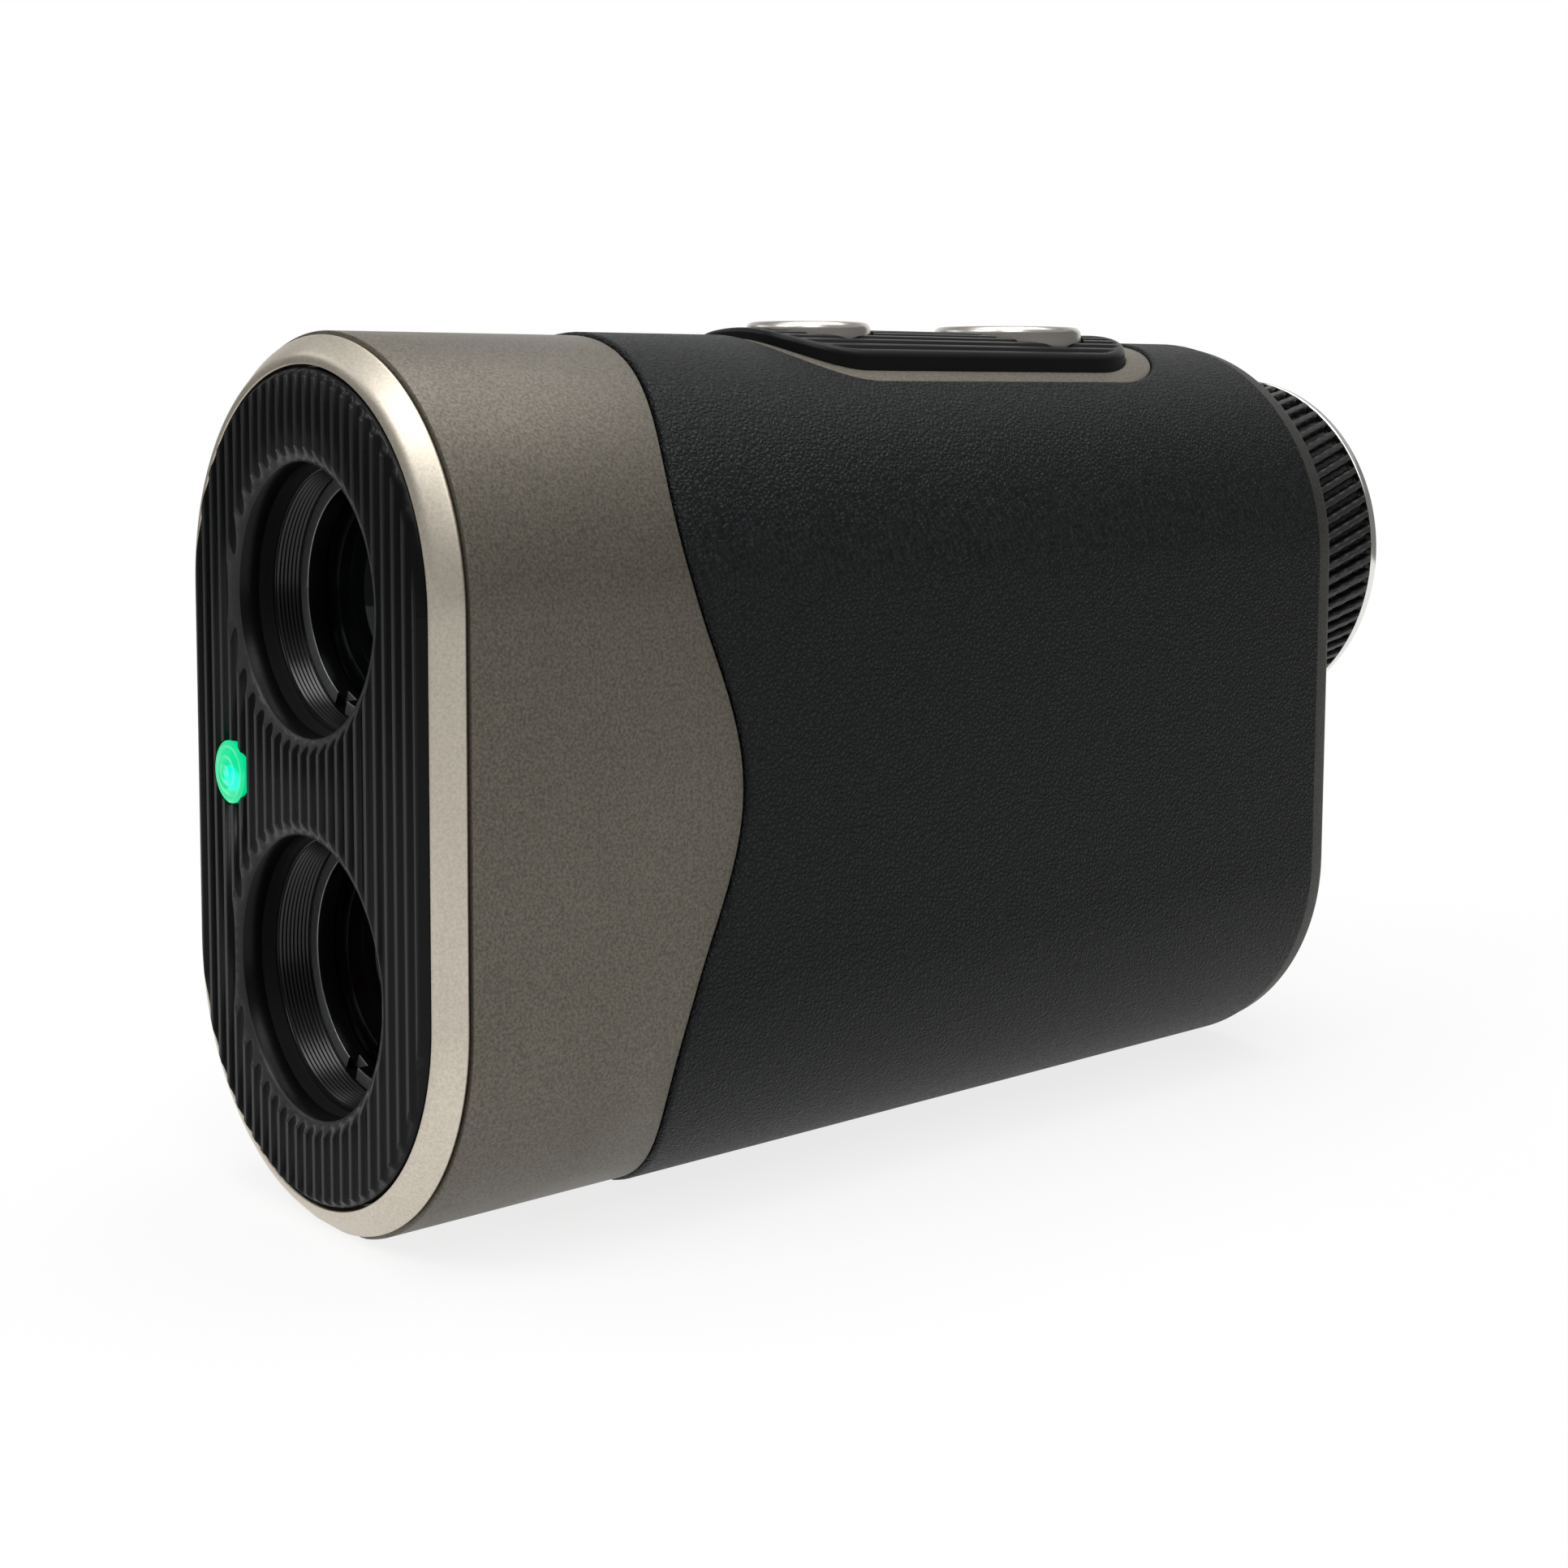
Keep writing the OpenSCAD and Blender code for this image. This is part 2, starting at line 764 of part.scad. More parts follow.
module prism() {
    y0 = carrier_y + carrier_wall + fit_gap;
    y1 = carrier_y + carrier_len - carrier_wall - fit_gap;
    low = axis_z - prism_rise;
    high = axis_z + prism_rise;
    placed() color("#c4d6dc") rotate([90, 0, 90]) linear_extrude(2 * prism_half, center = true)
        polygon([[y0, low], [y1, low], [y1, high - prism_bevel], [y1 - prism_bevel, high],
            [y0 + prism_bevel, high], [y0, high - prism_bevel]]);
}

// Emitter can, on the bridge over the prism
module laser_module() {
    low = axis_z + prism_rise;
    bridge = [prism_half + carrier_wall, laser_r + over, laser_base_t];
    placed() color("#b8923a") translate([0, carrier_y + laser_back, 0]) {
        translate([0, 0, low]) cylinder(h = button_board_low - laser_gap - low, r = laser_r);
        translate([0, 0, carrier_top]) block([-bridge[0], -bridge[1], 0], bridge);
    }
}

module sensor_module() {
    placed() color("#4b4f53") lower() {
        rod(sensor_r, sensor_y, sensor_y + sensor_len);
        rod(lower_r - bore_step, sensor_y, sensor_y + sensor_flange_t);
    }
}

module display_frame() {
    mid = display_y + display_len / 2;
    slot = [panel_half + fit_gap, panel_t / 2 + fit_gap];
    placed() color("#2c2f31") difference() {
        sight_plug(display_y, display_y + display_len);
        upper() {
            rod(light_r, display_y - over, display_y + display_len + over);
            block([-slot[0], mid - slot[1], -panel_half], [slot[0], mid + slot[1], carrier_rise + over]);
        }
    }
}

module display_panel() {
    mid = display_y + display_len / 2;
    placed() color("#93a9a6") upper()
        block([-panel_half, mid - panel_t / 2, -panel_half], [panel_half, mid + panel_t / 2, panel_half]);
}

// Space of the main board, which sits in grooves in both case halves
module main_board_space(gap) {
    half = cavity_r + board_bite;
    block([-half - gap, main_board_y - gap, -board_t / 2 - gap],
        [half + gap, main_board_rear + gap, board_t / 2 + gap]);
}

module main_board() {
    placed() color("#1f5b35") main_board_space(0);
}

module processor_chip() {
    y0 = main_board_y + chip_back;
    z0 = board_t / 2;
    placed() color("#17181a") block([-chip_w / 2, y0, z0], [chip_w / 2, y0 + chip_w, z0 + chip_t]);
}

module battery_tube() {
    placed() color("#33363a") lower() difference() {
        rod(tube_r, tube_y, wrap_rear);
        rod(cell_r + tube_gap, tube_y + tube_floor, wrap_rear);
        rod(cap_screw_r + run_gap, cap_front - contact_t, wrap_rear + over);
    }
}

module battery_spring() {
    y0 = tube_y + tube_floor;
    placed() color("#b9bcc0") lower() pipe(spring_r, spring_r - spring_t, y0, y0 + spring_len);
}

module battery_cell() {
    nub_r = 3.2;
    nub_t = 0.8;
    placed() color("#8d9299") lower() {
        rod(cell_r, cell_back - cell_len, cell_back - nub_t);
        rod(nub_r, cell_back - nub_t - over, cell_back);
    }
}

module battery_cap() {
    placed() color("#26282a") lower() difference() {
        union() {
            rod(cap_screw_r, cap_front, cap_y + over);
            rod(cap_r, cap_y, cap_y + cap_t);
        }
        block([slot_end - cap_r, cap_y + cap_t - slot_d, -slot_w / 2],
            [cap_r - slot_end, cap_y + cap_t + over, slot_w / 2]);
        for (i = [0:grip_count - 1]) rotate([0, i * 360 / grip_count, 0]) translate([cap_r, 0, 0])
            rod(grip_r, cap_y - over, cap_y + cap_t + over);
    }
}

module cap_seal() {
    placed() color("#161616") lower()
        pipe(cap_r - 2 * grip_r, cap_screw_r + screw_fit, cap_y - cap_seal_t, cap_y);
}

module cap_contact() {
    placed() color("#c9a24a") lower() rod(contact_r, cap_front - contact_t, cap_front);
}

module eyepiece_barrel() {
    slot_half = pin_r + fit_gap;
    placed() color("#1d1f21") upper() difference() {
        union() {
            rod(eye_out_r, eye_front, eye_end);
            rod(eye_out_r + eye_flange_w, wrap_rear - eye_flange_t, wrap_rear);
        }
        rod(eye_r, eye_front - over, eye_end + over);
        pipe(eye_out_r + over, eye_out_r - clip_bite, clip_y - screw_fit, clip_y + clip_t + screw_fit);
        block([-slot_half, pin_y - eye_travel - slot_half, 0],
            [slot_half, pin_y + eye_travel + slot_half, body_w]);
    }
}

module ring_clip() {
    placed() color("#9a9da0") upper()
        pipe(eye_out_r + clip_w, eye_out_r - clip_bite + screw_fit, clip_y, clip_y + clip_t);
}

module dioptre_ring() {
    placed() color("#1b1c1e") upper() difference() {
        rod(ring_r, ring_y, ring_end);
        rod(eye_out_r + run_gap, ring_y - over, ring_end + over);
        rod(clip_space_r, clip_y - clip_gap, ring_end + over);
        rod(eye_out_r + pin_reach + pin_groove, pin_y - eye_travel - pin_r - pin_groove,
            pin_y + eye_travel + pin_r + pin_groove);
        for (i = [0:knurl_count - 1]) rotate([0, i * 360 / knurl_count, 0])
            translate([ring_r, (ring_y + ring_end) / 2, 0]) rotate([knurl_slant, 0, 0])
                cube([2 * knurl_depth, 2 * ring_len, knurl_slot], center = true);
    }
}

module eyepiece_trim_ring() {
    chamfer = end_ring_t / 3;
    inner = ring_r - end_ring_w;
    placed() color("#dcd9d2") upper() translate([0, ring_end, 0]) rotate([-90, 0, 0]) rotate_extrude()
        polygon([[inner, 0], [ring_r, 0], [ring_r, end_ring_t - chamfer], [ring_r - chamfer, end_ring_t],
            [inner + chamfer, end_ring_t], [inner, end_ring_t - chamfer]]);
}

module eyecup() {
    outer = ring_r - end_ring_w - screw_fit;
    y1 = ring_end + end_ring_t;
    placed() color("#161718") upper() difference() {
        union() {
            rod(outer, ring_end, y1 - fit_gap);
            rod(clip_space_r - screw_fit, eye_end + clip_gap, ring_end);
        }
        rod(cup_bore_r, eye_end - over, y1 + over);
        translate([0, y1 - end_ring_t, 0]) rotate([-90, 0, 0])
            cylinder(h = end_ring_t, r1 = cup_bore_r, r2 = outer - over);
    }
}

module ocular_cell() {
    placed() color("#25272a") upper() difference() {
        rod(eye_r - run_gap, cell_front, cell_rear);
        rod(eye_r - 2 * cell_wall, cell_front - over, cell_rear + over);
        rod(eye_r - cell_wall, cell_rear - ocular_t - ocular_ring_t, cell_rear + over);
        translate([0, pin_y, 0]) cylinder(h = body_w, r = pin_r);
    }
}

module ocular_lens() {
    y1 = cell_rear - ocular_ring_t;
    placed() color("#8aa6b4") upper() intersection() {
        rod(eye_r - cell_wall - screw_fit, y1 - ocular_t, y1);
        translate([0, y1 - ocular_curve, 0]) sphere(ocular_curve);
    }
}

module ocular_retainer() {
    placed() color("#34373a") upper()
        pipe(eye_r - cell_wall - screw_fit, eye_r - 2 * cell_wall,
            cell_rear - ocular_ring_t, cell_rear);
}

module drive_pin() {
    foot = eye_r - cell_wall + fit_gap;
    placed() color("#9a9da0") upper() translate([0, pin_y, foot])
        cylinder(h = eye_out_r + pin_reach - foot, r = pin_r);
}

module button_frame() {
    placed() color("#6f675d") difference() {
        intersection() {
            slab(0, pad_front - trim_front - over, pad_front + pad_len + trim_rear + over);
            panel_solid(trim_side, trim_front, trim_rear);
        }
        slab(skin_t, 0, total_len);
        panel_solid(pad_gap, pad_gap, pad_gap);
    }
}

module button_pad() {
    y1 = pad_front + pad_len;
    pairs = floor((pad_w / 2 - over) / pad_rib_pitch - 0.5);
    placed() color("#202224") difference() {
        intersection() {
            panel_solid(0, 0, 0);
            translate([0, 0, crown_z - pad_curve]) rod(pad_curve, pad_front - over, y1 + over);
        }
        slab(skin_t, 0, total_len);
        for (i = [-pairs - 1:pairs]) let (x = (i + 0.5) * pad_rib_pitch)
            translate([x, 0, crown_z - sag(pad_curve, x) + groove_r - pad_rib_depth])
                rod(groove_r, pad_front - over, y1 + over, $fn = 32);
        translate([0, power_at, 0]) cylinder(h = body_h, r = power_d / 2 + button_gap);
        translate([0, mode_at, 0]) cylinder(h = body_h, r = mode_d / 2 + button_gap);
    }
}

// Dished cap on a stem that ends in a collar under the case
module push_button(d, y) {
    r = d / 2;
    rim = r - button_rim;
    dish_curve = (rim * rim + button_dish * button_dish) / (2 * button_dish);
    translate([0, y, 0]) difference() {
        union() {
            translate([0, 0, button_base]) cylinder(h = button_top - button_chamfer - button_base, r = r);
            translate([0, 0, button_top - button_chamfer])
                cylinder(h = button_chamfer, r1 = r, r2 = r - button_chamfer);
            translate([0, 0, stem_end]) cylinder(h = button_base + over / 2 - stem_end, r = stem_r);
            translate([0, 0, stem_end]) cylinder(h = collar_t, r = collar_r);
        }
        translate([0, 0, button_top - button_dish + dish_curve]) sphere(dish_curve);
    }
}

module power_button() {
    placed() color("#c9c3b8") push_button(power_d, power_at);
}

module mode_button() {
    placed() color("#c9c3b8") push_button(mode_d, mode_at);
}

// Space of the button board, which sits in grooves in both case halves
module button_board_space(gap) {
    block([-button_board_half - gap, power_at - board_margin - gap, button_board_top - board_t - gap],
        [button_board_half + gap, mode_at + board_margin + gap, button_board_top + gap]);
}

module button_board() {
    placed() color("#1f5b35") button_board_space(0);
}

module dome_switches() {
    placed() color("#c8ccd0") for (y = [power_at, mode_at])
        translate([0, y, button_board_top]) cylinder(h = dome_t, r = dome_r);
}

module tripod_insert() {
    placed() color("#b8923a") translate([0, tripod_y, base_z]) difference() {
        cylinder(h = tripod_len, r = insert_r - screw_fit);
        translate([0, 0, -over]) cylinder(h = tripod_len + 2 * over, r = tripod_r);
    }
}

front_bezel();
faceplate();
front_seal();
led_lens();
led_chip();
led_board();
nose_housing();
left_shell();
right_shell();
shell_screws();
grip_wrap();
rear_trim();
rear_plate();
rear_screws();
front_frame();
objective_barrel();
objective_lens();
objective_retainer();
receiver_barrel();
receiver_lens();
receiver_retainer();
prism_carrier();
prism();
laser_module();
sensor_module();
display_frame();
display_panel();
main_board();
processor_chip();
battery_tube();
battery_spring();
battery_cell();
battery_cap();
cap_seal();
cap_contact();
eyepiece_barrel();
ring_clip();
dioptre_ring();
eyepiece_trim_ring();
eyecup();
ocular_cell();
ocular_lens();
ocular_retainer();
drive_pin();
button_frame();
button_pad();
power_button();
mode_button();
button_board();
dome_switches();
tripod_insert();
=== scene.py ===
"""Looks of the hand-held laser speed monocular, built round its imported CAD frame."""

import json
import math

import bmesh
import bpy
from mathutils import Matrix, Vector


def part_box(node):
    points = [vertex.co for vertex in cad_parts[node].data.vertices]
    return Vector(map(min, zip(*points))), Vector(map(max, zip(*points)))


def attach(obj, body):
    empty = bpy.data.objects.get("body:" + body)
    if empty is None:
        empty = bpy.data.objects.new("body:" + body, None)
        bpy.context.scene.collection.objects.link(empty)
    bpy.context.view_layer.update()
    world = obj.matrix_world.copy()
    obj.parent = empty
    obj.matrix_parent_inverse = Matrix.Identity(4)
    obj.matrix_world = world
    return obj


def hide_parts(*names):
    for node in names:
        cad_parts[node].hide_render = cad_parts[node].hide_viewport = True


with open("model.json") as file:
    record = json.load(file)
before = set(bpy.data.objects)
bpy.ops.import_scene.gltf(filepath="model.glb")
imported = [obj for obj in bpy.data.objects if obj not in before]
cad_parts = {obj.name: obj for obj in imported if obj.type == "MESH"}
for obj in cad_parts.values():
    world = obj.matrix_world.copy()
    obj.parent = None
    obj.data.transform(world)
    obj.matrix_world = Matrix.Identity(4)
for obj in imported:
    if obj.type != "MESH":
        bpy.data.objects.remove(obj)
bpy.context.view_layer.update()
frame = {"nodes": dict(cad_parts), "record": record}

MM = 0.001
TURN = 2 * math.pi
MERGE = 1e-7
SAME = 1e-6


# Sizes from the frame, in millimetres

def span(node):
    """Low and high corner of a CAD node, in millimetres."""
    low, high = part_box(node)
    return low / MM, high / MM


def middle(node):
    """Middle of a CAD node's box, in millimetres."""
    low, high = span(node)
    return (low + high) / 2


nose_low, nose_high = span("nose_housing")
wrap_low, wrap_high = span("grip_wrap")
bezel_low, bezel_high = span("front_bezel")
face_low, face_high = span("faceplate")
rear_low, rear_high = span("rear_trim")
pad_low, pad_high = span("button_pad")
trim_low, trim_high = span("button_frame")
ring_low, ring_high = span("dioptre_ring")
end_low, end_high = span("eyepiece_trim_ring")
cup_low, cup_high = span("eyecup")
led_low, led_high = span("led_lens")

HALF_W = nose_high.x
UP_Z = middle("objective_barrel").z
LOW_Z = middle("receiver_barrel").z
MID_Z = (UP_Z + LOW_Z) / 2
SIDE = UP_Z - LOW_Z
LIP_Y = bezel_low.y
# Thickness of the outer pieces
SKIN = 1.5
WRAP_R = wrap_high.x

# Wavy seam between nose and wrap
SEAM_GAP = 0.3
SEAM_SHOWN = 0.17
SEAM_PITCH = 45.0
SEAM_Y = (nose_high.y + wrap_low.y - SEAM_GAP) / 2
SEAM_WAVE = (nose_high.y - wrap_low.y + SEAM_GAP) / 2

# Lens openings, each with a cone round it in the faceplate
TUBE_WALL = 2.2
FLANGE_W = 1.0
CONE_W = 1.25
CONE_D = 0.6


def bore_radius(tube):
    """Radius of the lens opening in front of a tube."""
    return span(tube)[1].x - TUBE_WALL - FLANGE_W


# Button panel
PAD_HALF = pad_high.x
PAD_FRONT_R = 7.0
PAD_REAR_R = 9.0
PAD_CURVE = 25.0
CROWN_Z = pad_high.z
TRIM_GROW = trim_high.x - PAD_HALF
OPENING_GAP = 0.15
PAD_GAP = 0.1


# Mesh helpers, all in millimetres, apart from MERGE in metres

def finish_mesh(name, verts, faces, body, slot, replaces=(), sharp=40.0, look=None):
    """Makes an object from points and faces, smooth except at edges over the sharp angle."""
    mesh = bpy.data.meshes.new(name)
    mesh.from_pydata([(x * MM, y * MM, z * MM) for x, y, z in verts], [], faces)
    mesh.validate()
    shape = bmesh.new()
    shape.from_mesh(mesh)
    bmesh.ops.remove_doubles(shape, verts=shape.verts, dist=MERGE)
    bmesh.ops.recalc_face_normals(shape, faces=shape.faces)
    limit = math.radians(sharp)
    for face in shape.faces:
        face.smooth = True
    for edge in shape.edges:
        if len(edge.link_faces) == 2:
            edge.smooth = edge.calc_face_angle(0.0) < limit
    shape.to_mesh(mesh)
    shape.free()
    obj = bpy.data.objects.new(name, mesh)
    bpy.context.scene.collection.objects.link(obj)
    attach(obj, body)
    for node in replaces:
        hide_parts(node)
    mesh.materials.append(look or materials[slot])
    return obj


def loft(rows, closed_rows=True, closed_loop=True):
    """Points and quads through rows of equal length; closed_loop joins the last row to the first."""
    count = len(rows[0])
    verts = [point for row in rows for point in row]
    faces = []
    for i in range(len(rows) if closed_loop else len(rows) - 1):
        a, b = i * count, (i + 1) % len(rows) * count
        for j in range(count if closed_rows else count - 1):
            k = (j + 1) % count
            faces.append((a + j, a + k, b + k, b + j))
    return verts, faces


def rounded(corners, steps=5):
    """Closed outline through (u, v, radius) corners, each corner rounded by its radius."""
    points = []
    count = len(corners)
    for i, (u, v, radius) in enumerate(corners):
        here = Vector((u, v))
        if radius <= 0:
            points.append((u, v))
            continue
        before = Vector(corners[i - 1][:2]) - here
        after = Vector(corners[(i + 1) % count][:2]) - here
        before.normalize()
        after.normalize()
        half = before.angle(after) / 2
        reach = radius / math.tan(half)
        centre = here + (before + after).normalized() * (radius / math.sin(half))
        first = here + before * reach - centre
        last = here + after * reach - centre
        for k in range(steps + 1):
            t = k / steps
            arm = first.slerp(last, t, first) if first.length else first
            arm = arm.normalized() * radius
            points.append((centre.x + arm.x, centre.y + arm.y))
    return points


def smooth_step(low, high, value):
    """0 below low, 1 above high and a smooth rise between them."""
    t = min(max((value - low) / (high - low), 0.0), 1.0)
    return t * t * (3 - 2 * t)


# Round the body: the perimeter starts at the crown and runs towards +X

ARC_STEPS = 96
SIDE_STEPS = 24


def stations():
    """Outward direction and axis height of each station round the body."""
    made = []
    for i in range(ARC_STEPS):
        turn = math.pi * (i / ARC_STEPS - 0.5)
        made.append((math.sin(turn), math.cos(turn), UP_Z))
    for i in range(SIDE_STEPS):
        made.append((1.0, 0.0, UP_Z - SIDE * i / SIDE_STEPS))
    for i in range(ARC_STEPS):
        turn = math.pi * (i / ARC_STEPS + 0.5)
        made.append((math.sin(turn), math.cos(turn), LOW_Z))
    for i in range(SIDE_STEPS):
        made.append((-1.0, 0.0, LOW_Z + SIDE * i / SIDE_STEPS))
    return made


STATIONS = stations()


def body_point(station, radius, y):
    """Point at a station, cut off at the flat that the part stands on."""
    out_x, out_z, axis = station
    return (radius * out_x, y, max(axis + radius * out_z, 0.0))


def seam_at(z):
    """Place of the wavy seam along Y at a height."""
    return SEAM_Y + SEAM_WAVE * math.cos(TURN * (z - MID_Z) / SEAM_PITCH)


def sweep(profile_at):
    """Sweeps a closed (radius, y) profile, given for each station, round the body."""
    rows = [[body_point(s, r, y) for r, y in profile_at(s)] for s in STATIONS]
    return loft(rows)


def lathe(profile, centre, axis, steps=128):
    """Turns an open (radius, along) profile round an axis through centre."""
    rows = []
    for i in range(steps):
        turn = TURN * i / steps
        c, s = math.cos(turn), math.sin(turn)
        if axis == "Y":
            rows.append([(centre[0] + r * c, a, centre[2] + r * s) for r, a in profile])
        else:
            rows.append([(centre[0] + r * c, centre[1] + r * s, a) for r, a in profile])
    return loft(rows, closed_rows=False)


# Materials, one for each slot of the record and a few for single pieces

def node_tree(name):
    """A new material with its nodes, links, shader and object coordinate."""
    made = bpy.data.materials.new(name)
    made.use_nodes = True
    nodes, links = made.node_tree.nodes, made.node_tree.links
    shader = nodes["Principled BSDF"]
    place = nodes.new("ShaderNodeTexCoord").outputs["Object"]
    return made, nodes, links, shader, place


def feed(links, socket, value):
    """Sets a socket to a number or a vector, or links another socket to it."""
    if isinstance(value, bpy.types.NodeSocket):
        links.new(value, socket)
    else:
        socket.default_value = value


def sums(nodes, links, operation, *values):
    """Math node on numbers or sockets."""
    made = nodes.new("ShaderNodeMath")
    made.operation = operation
    for socket, value in zip(made.inputs, values):
        feed(links, socket, value)
    return made.outputs[0]


def vectors(nodes, links, operation, *values):
    """Vector math node on vectors or sockets."""
    made = nodes.new("ShaderNodeVectorMath")
    made.operation = operation
    for socket, value in zip(made.inputs, values):
        feed(links, socket, value)
    return made.outputs["Value" if operation in ("LENGTH", "DISTANCE") else "Vector"]


def remap(nodes, links, value, source, target=(0.0, 1.0), clamp=True):
    """Maps the source range onto the target range."""
    made = nodes.new("ShaderNodeMapRange")
    made.clamp = clamp
    ends = ("From Min", "From Max", "To Min", "To Max")
    for end, limit in zip(ends, (*source, *target)):
        feed(links, made.inputs[end], limit)
    links.new(value, made.inputs["Value"])
    return made.outputs["Result"]


NOISE_DETAIL = 3.0
NOISE_ROUGH = 0.6
FINE_DETAIL = 2.0
FINE_GRAIN = 3500.0
NOISE_RANGE = (0.3, 0.7)
TINT_RANGE = (0.32, 0.68)


def noise(nodes, links, place, scale, detail=NOISE_DETAIL):
    """Noise texture at the object coordinate."""
    tex = nodes.new("ShaderNodeTexNoise")
    tex.inputs["Scale"].default_value = scale
    tex.inputs["Detail"].default_value = detail
    tex.inputs["Roughness"].default_value = NOISE_ROUGH
    links.new(place, tex.inputs["Vector"])
    return tex.outputs["Fac"]


def spread(nodes, links, value, low, high):
    """Maps a noise texture onto low to high."""
    return remap(nodes, links, value, NOISE_RANGE, (low, high))


def shades(colour, *factors):
    """The colour times each factor, up to white."""
    return [tuple(min(c * factor, 1.0) for c in colour) for factor in factors]


def tint(nodes, links, value, dark, light):
    """Colour from dark to light across the tint range."""
    ramp = nodes.new("ShaderNodeValToRGB")
    ramp.color_ramp.elements[0].position = TINT_RANGE[0]
    ramp.color_ramp.elements[1].position = TINT_RANGE[1]
    ramp.color_ramp.elements[0].color = (*dark, 1)
    ramp.color_ramp.elements[1].color = (*light, 1)
    links.new(value, ramp.inputs["Fac"])
    return ramp.outputs["Color"]


def bump(nodes, links, shader, height, strength, distance, below=None):
    """Relief of a height in millimetres, on top of another relief if there is one."""
    made = nodes.new("ShaderNodeBump")
    made.inputs["Strength"].default_value = strength
    made.inputs["Distance"].default_value = distance * MM
    links.new(height, made.inputs["Height"])
    if below:
        links.new(below, made.inputs["Normal"])
    links.new(made.outputs["Normal"], shader.inputs["Normal"])
    return made.outputs["Normal"]


PATCH_SCALE = 90.0
PATCH_ROUGH = 0.05
BUMP_STRENGTH = 0.5


def moulded(name, colour, rough, vary=0.12, metal=0.0, grain=FINE_GRAIN, depth=0.008, spec=0.5):
    """A surface with a fine grain in its colour and relief, and patchy roughness."""
    made, nodes, links, shader, place = node_tree(name)
    slow = noise(nodes, links, place, PATCH_SCALE)
    fine = noise(nodes, links, place, grain, FINE_DETAIL)
    dark, light = shades(colour, 1 - vary, 1 + vary)
    links.new(tint(nodes, links, fine, dark, light), shader.inputs["Base Color"])
    links.new(spread(nodes, links, slow, rough - PATCH_ROUGH, rough + PATCH_ROUGH),
              shader.inputs["Roughness"])
    shader.inputs["Metallic"].default_value = metal
    shader.inputs["Specular IOR Level"].default_value = spec
    bump(nodes, links, shader, fine, BUMP_STRENGTH, depth)
    return made


LEATHER_CELLS = 2250.0
LEATHER_WOBBLE = 900.0
LEATHER_PUSH = 0.0005
LEATHER_CREASE = 0.35
LEATHER_FINE = 4000.0
# Colour factors of the creases and crests: painted shade and painted light
LEATHER_PAINTED_LIGHT = (0.5, 1.4)
LEATHER_ROUGH = (0.44, 0.56)
# Strength and height in millimetres of the creases and of the fine grain
CREASE_RELIEF = (0.95, 0.085)
FINE_RELIEF = (0.4, 0.02)


def grained(name, colour):
    """Soft black skin with a fine leather grain, with painted shade in its creases and painted light on
    its crests.
    """
    made, nodes, links, shader, place = node_tree(name)
    wobble = nodes.new("ShaderNodeTexNoise")
    wobble.inputs["Scale"].default_value = LEATHER_WOBBLE
    links.new(place, wobble.inputs["Vector"])
    push = (LEATHER_PUSH, LEATHER_PUSH, LEATHER_PUSH)
    cells = nodes.new("ShaderNodeTexVoronoi")
    cells.feature = "DISTANCE_TO_EDGE"
    cells.inputs["Scale"].default_value = LEATHER_CELLS
    links.new(vectors(nodes, links, "MULTIPLY_ADD", wobble.outputs["Color"], push, place),
              cells.inputs["Vector"])
    soft = remap(nodes, links, cells.outputs["Distance"], (0.0, LEATHER_CREASE))
    fine = noise(nodes, links, place, LEATHER_FINE, FINE_DETAIL)
    # Creases darker and crests lighter: painted shade in the creases and painted light on the crests
    shaded_crease, lit_crest = shades(colour, *LEATHER_PAINTED_LIGHT)
    links.new(tint(nodes, links, soft, shaded_crease, lit_crest), shader.inputs["Base Color"])
    links.new(spread(nodes, links, fine, *LEATHER_ROUGH), shader.inputs["Roughness"])
    shader.inputs["Specular IOR Level"].default_value = 0.19
    first = bump(nodes, links, shader, soft, *CREASE_RELIEF)
    bump(nodes, links, shader, fine, *FINE_RELIEF, first)
    return made


GLASS_ROUGH = (0.02, 0.05)
GLASS_PATCH = 60.0
GLASS_DARK = 0.8


def glass(name, colour):
    """Dark coated glass."""
    made, nodes, links, shader, place = node_tree(name)
    slow = noise(nodes, links, place, GLASS_PATCH)
    dark = shades(colour, GLASS_DARK)[0]
    links.new(tint(nodes, links, slow, dark, colour), shader.inputs["Base Color"])
    links.new(spread(nodes, links, slow, *GLASS_ROUGH), shader.inputs["Roughness"])
    shader.inputs["Transmission Weight"].default_value = 0.15
    shader.inputs["IOR"].default_value = 1.3
    shader.inputs["Specular IOR Level"].default_value = 0.08
    shader.inputs["Specular Tint"].default_value = (0.55, 0.80, 0.70, 1)
    return made


def from_axis(nodes, links, place, height):
    """Distance from a lens axis, in metres."""
    flat = vectors(nodes, links, "MULTIPLY", place, (1.0, 0.0, 1.0))
    return vectors(nodes, links, "DISTANCE", flat, (0.0, 0.0, height * MM))


# Depths in millimetres behind the faceplate's front, at the groove and at the crest, where the painted
# shade of the grooves and the painted light of the crests are full
FACE_SHADE_DEPTHS = (0.20, 0.02)
CONE_MISS = 0.06
CONE_PALE = 1.15
FACE_ROUGH = (0.27, 0.36)
RIB_RELIEF = 0.006


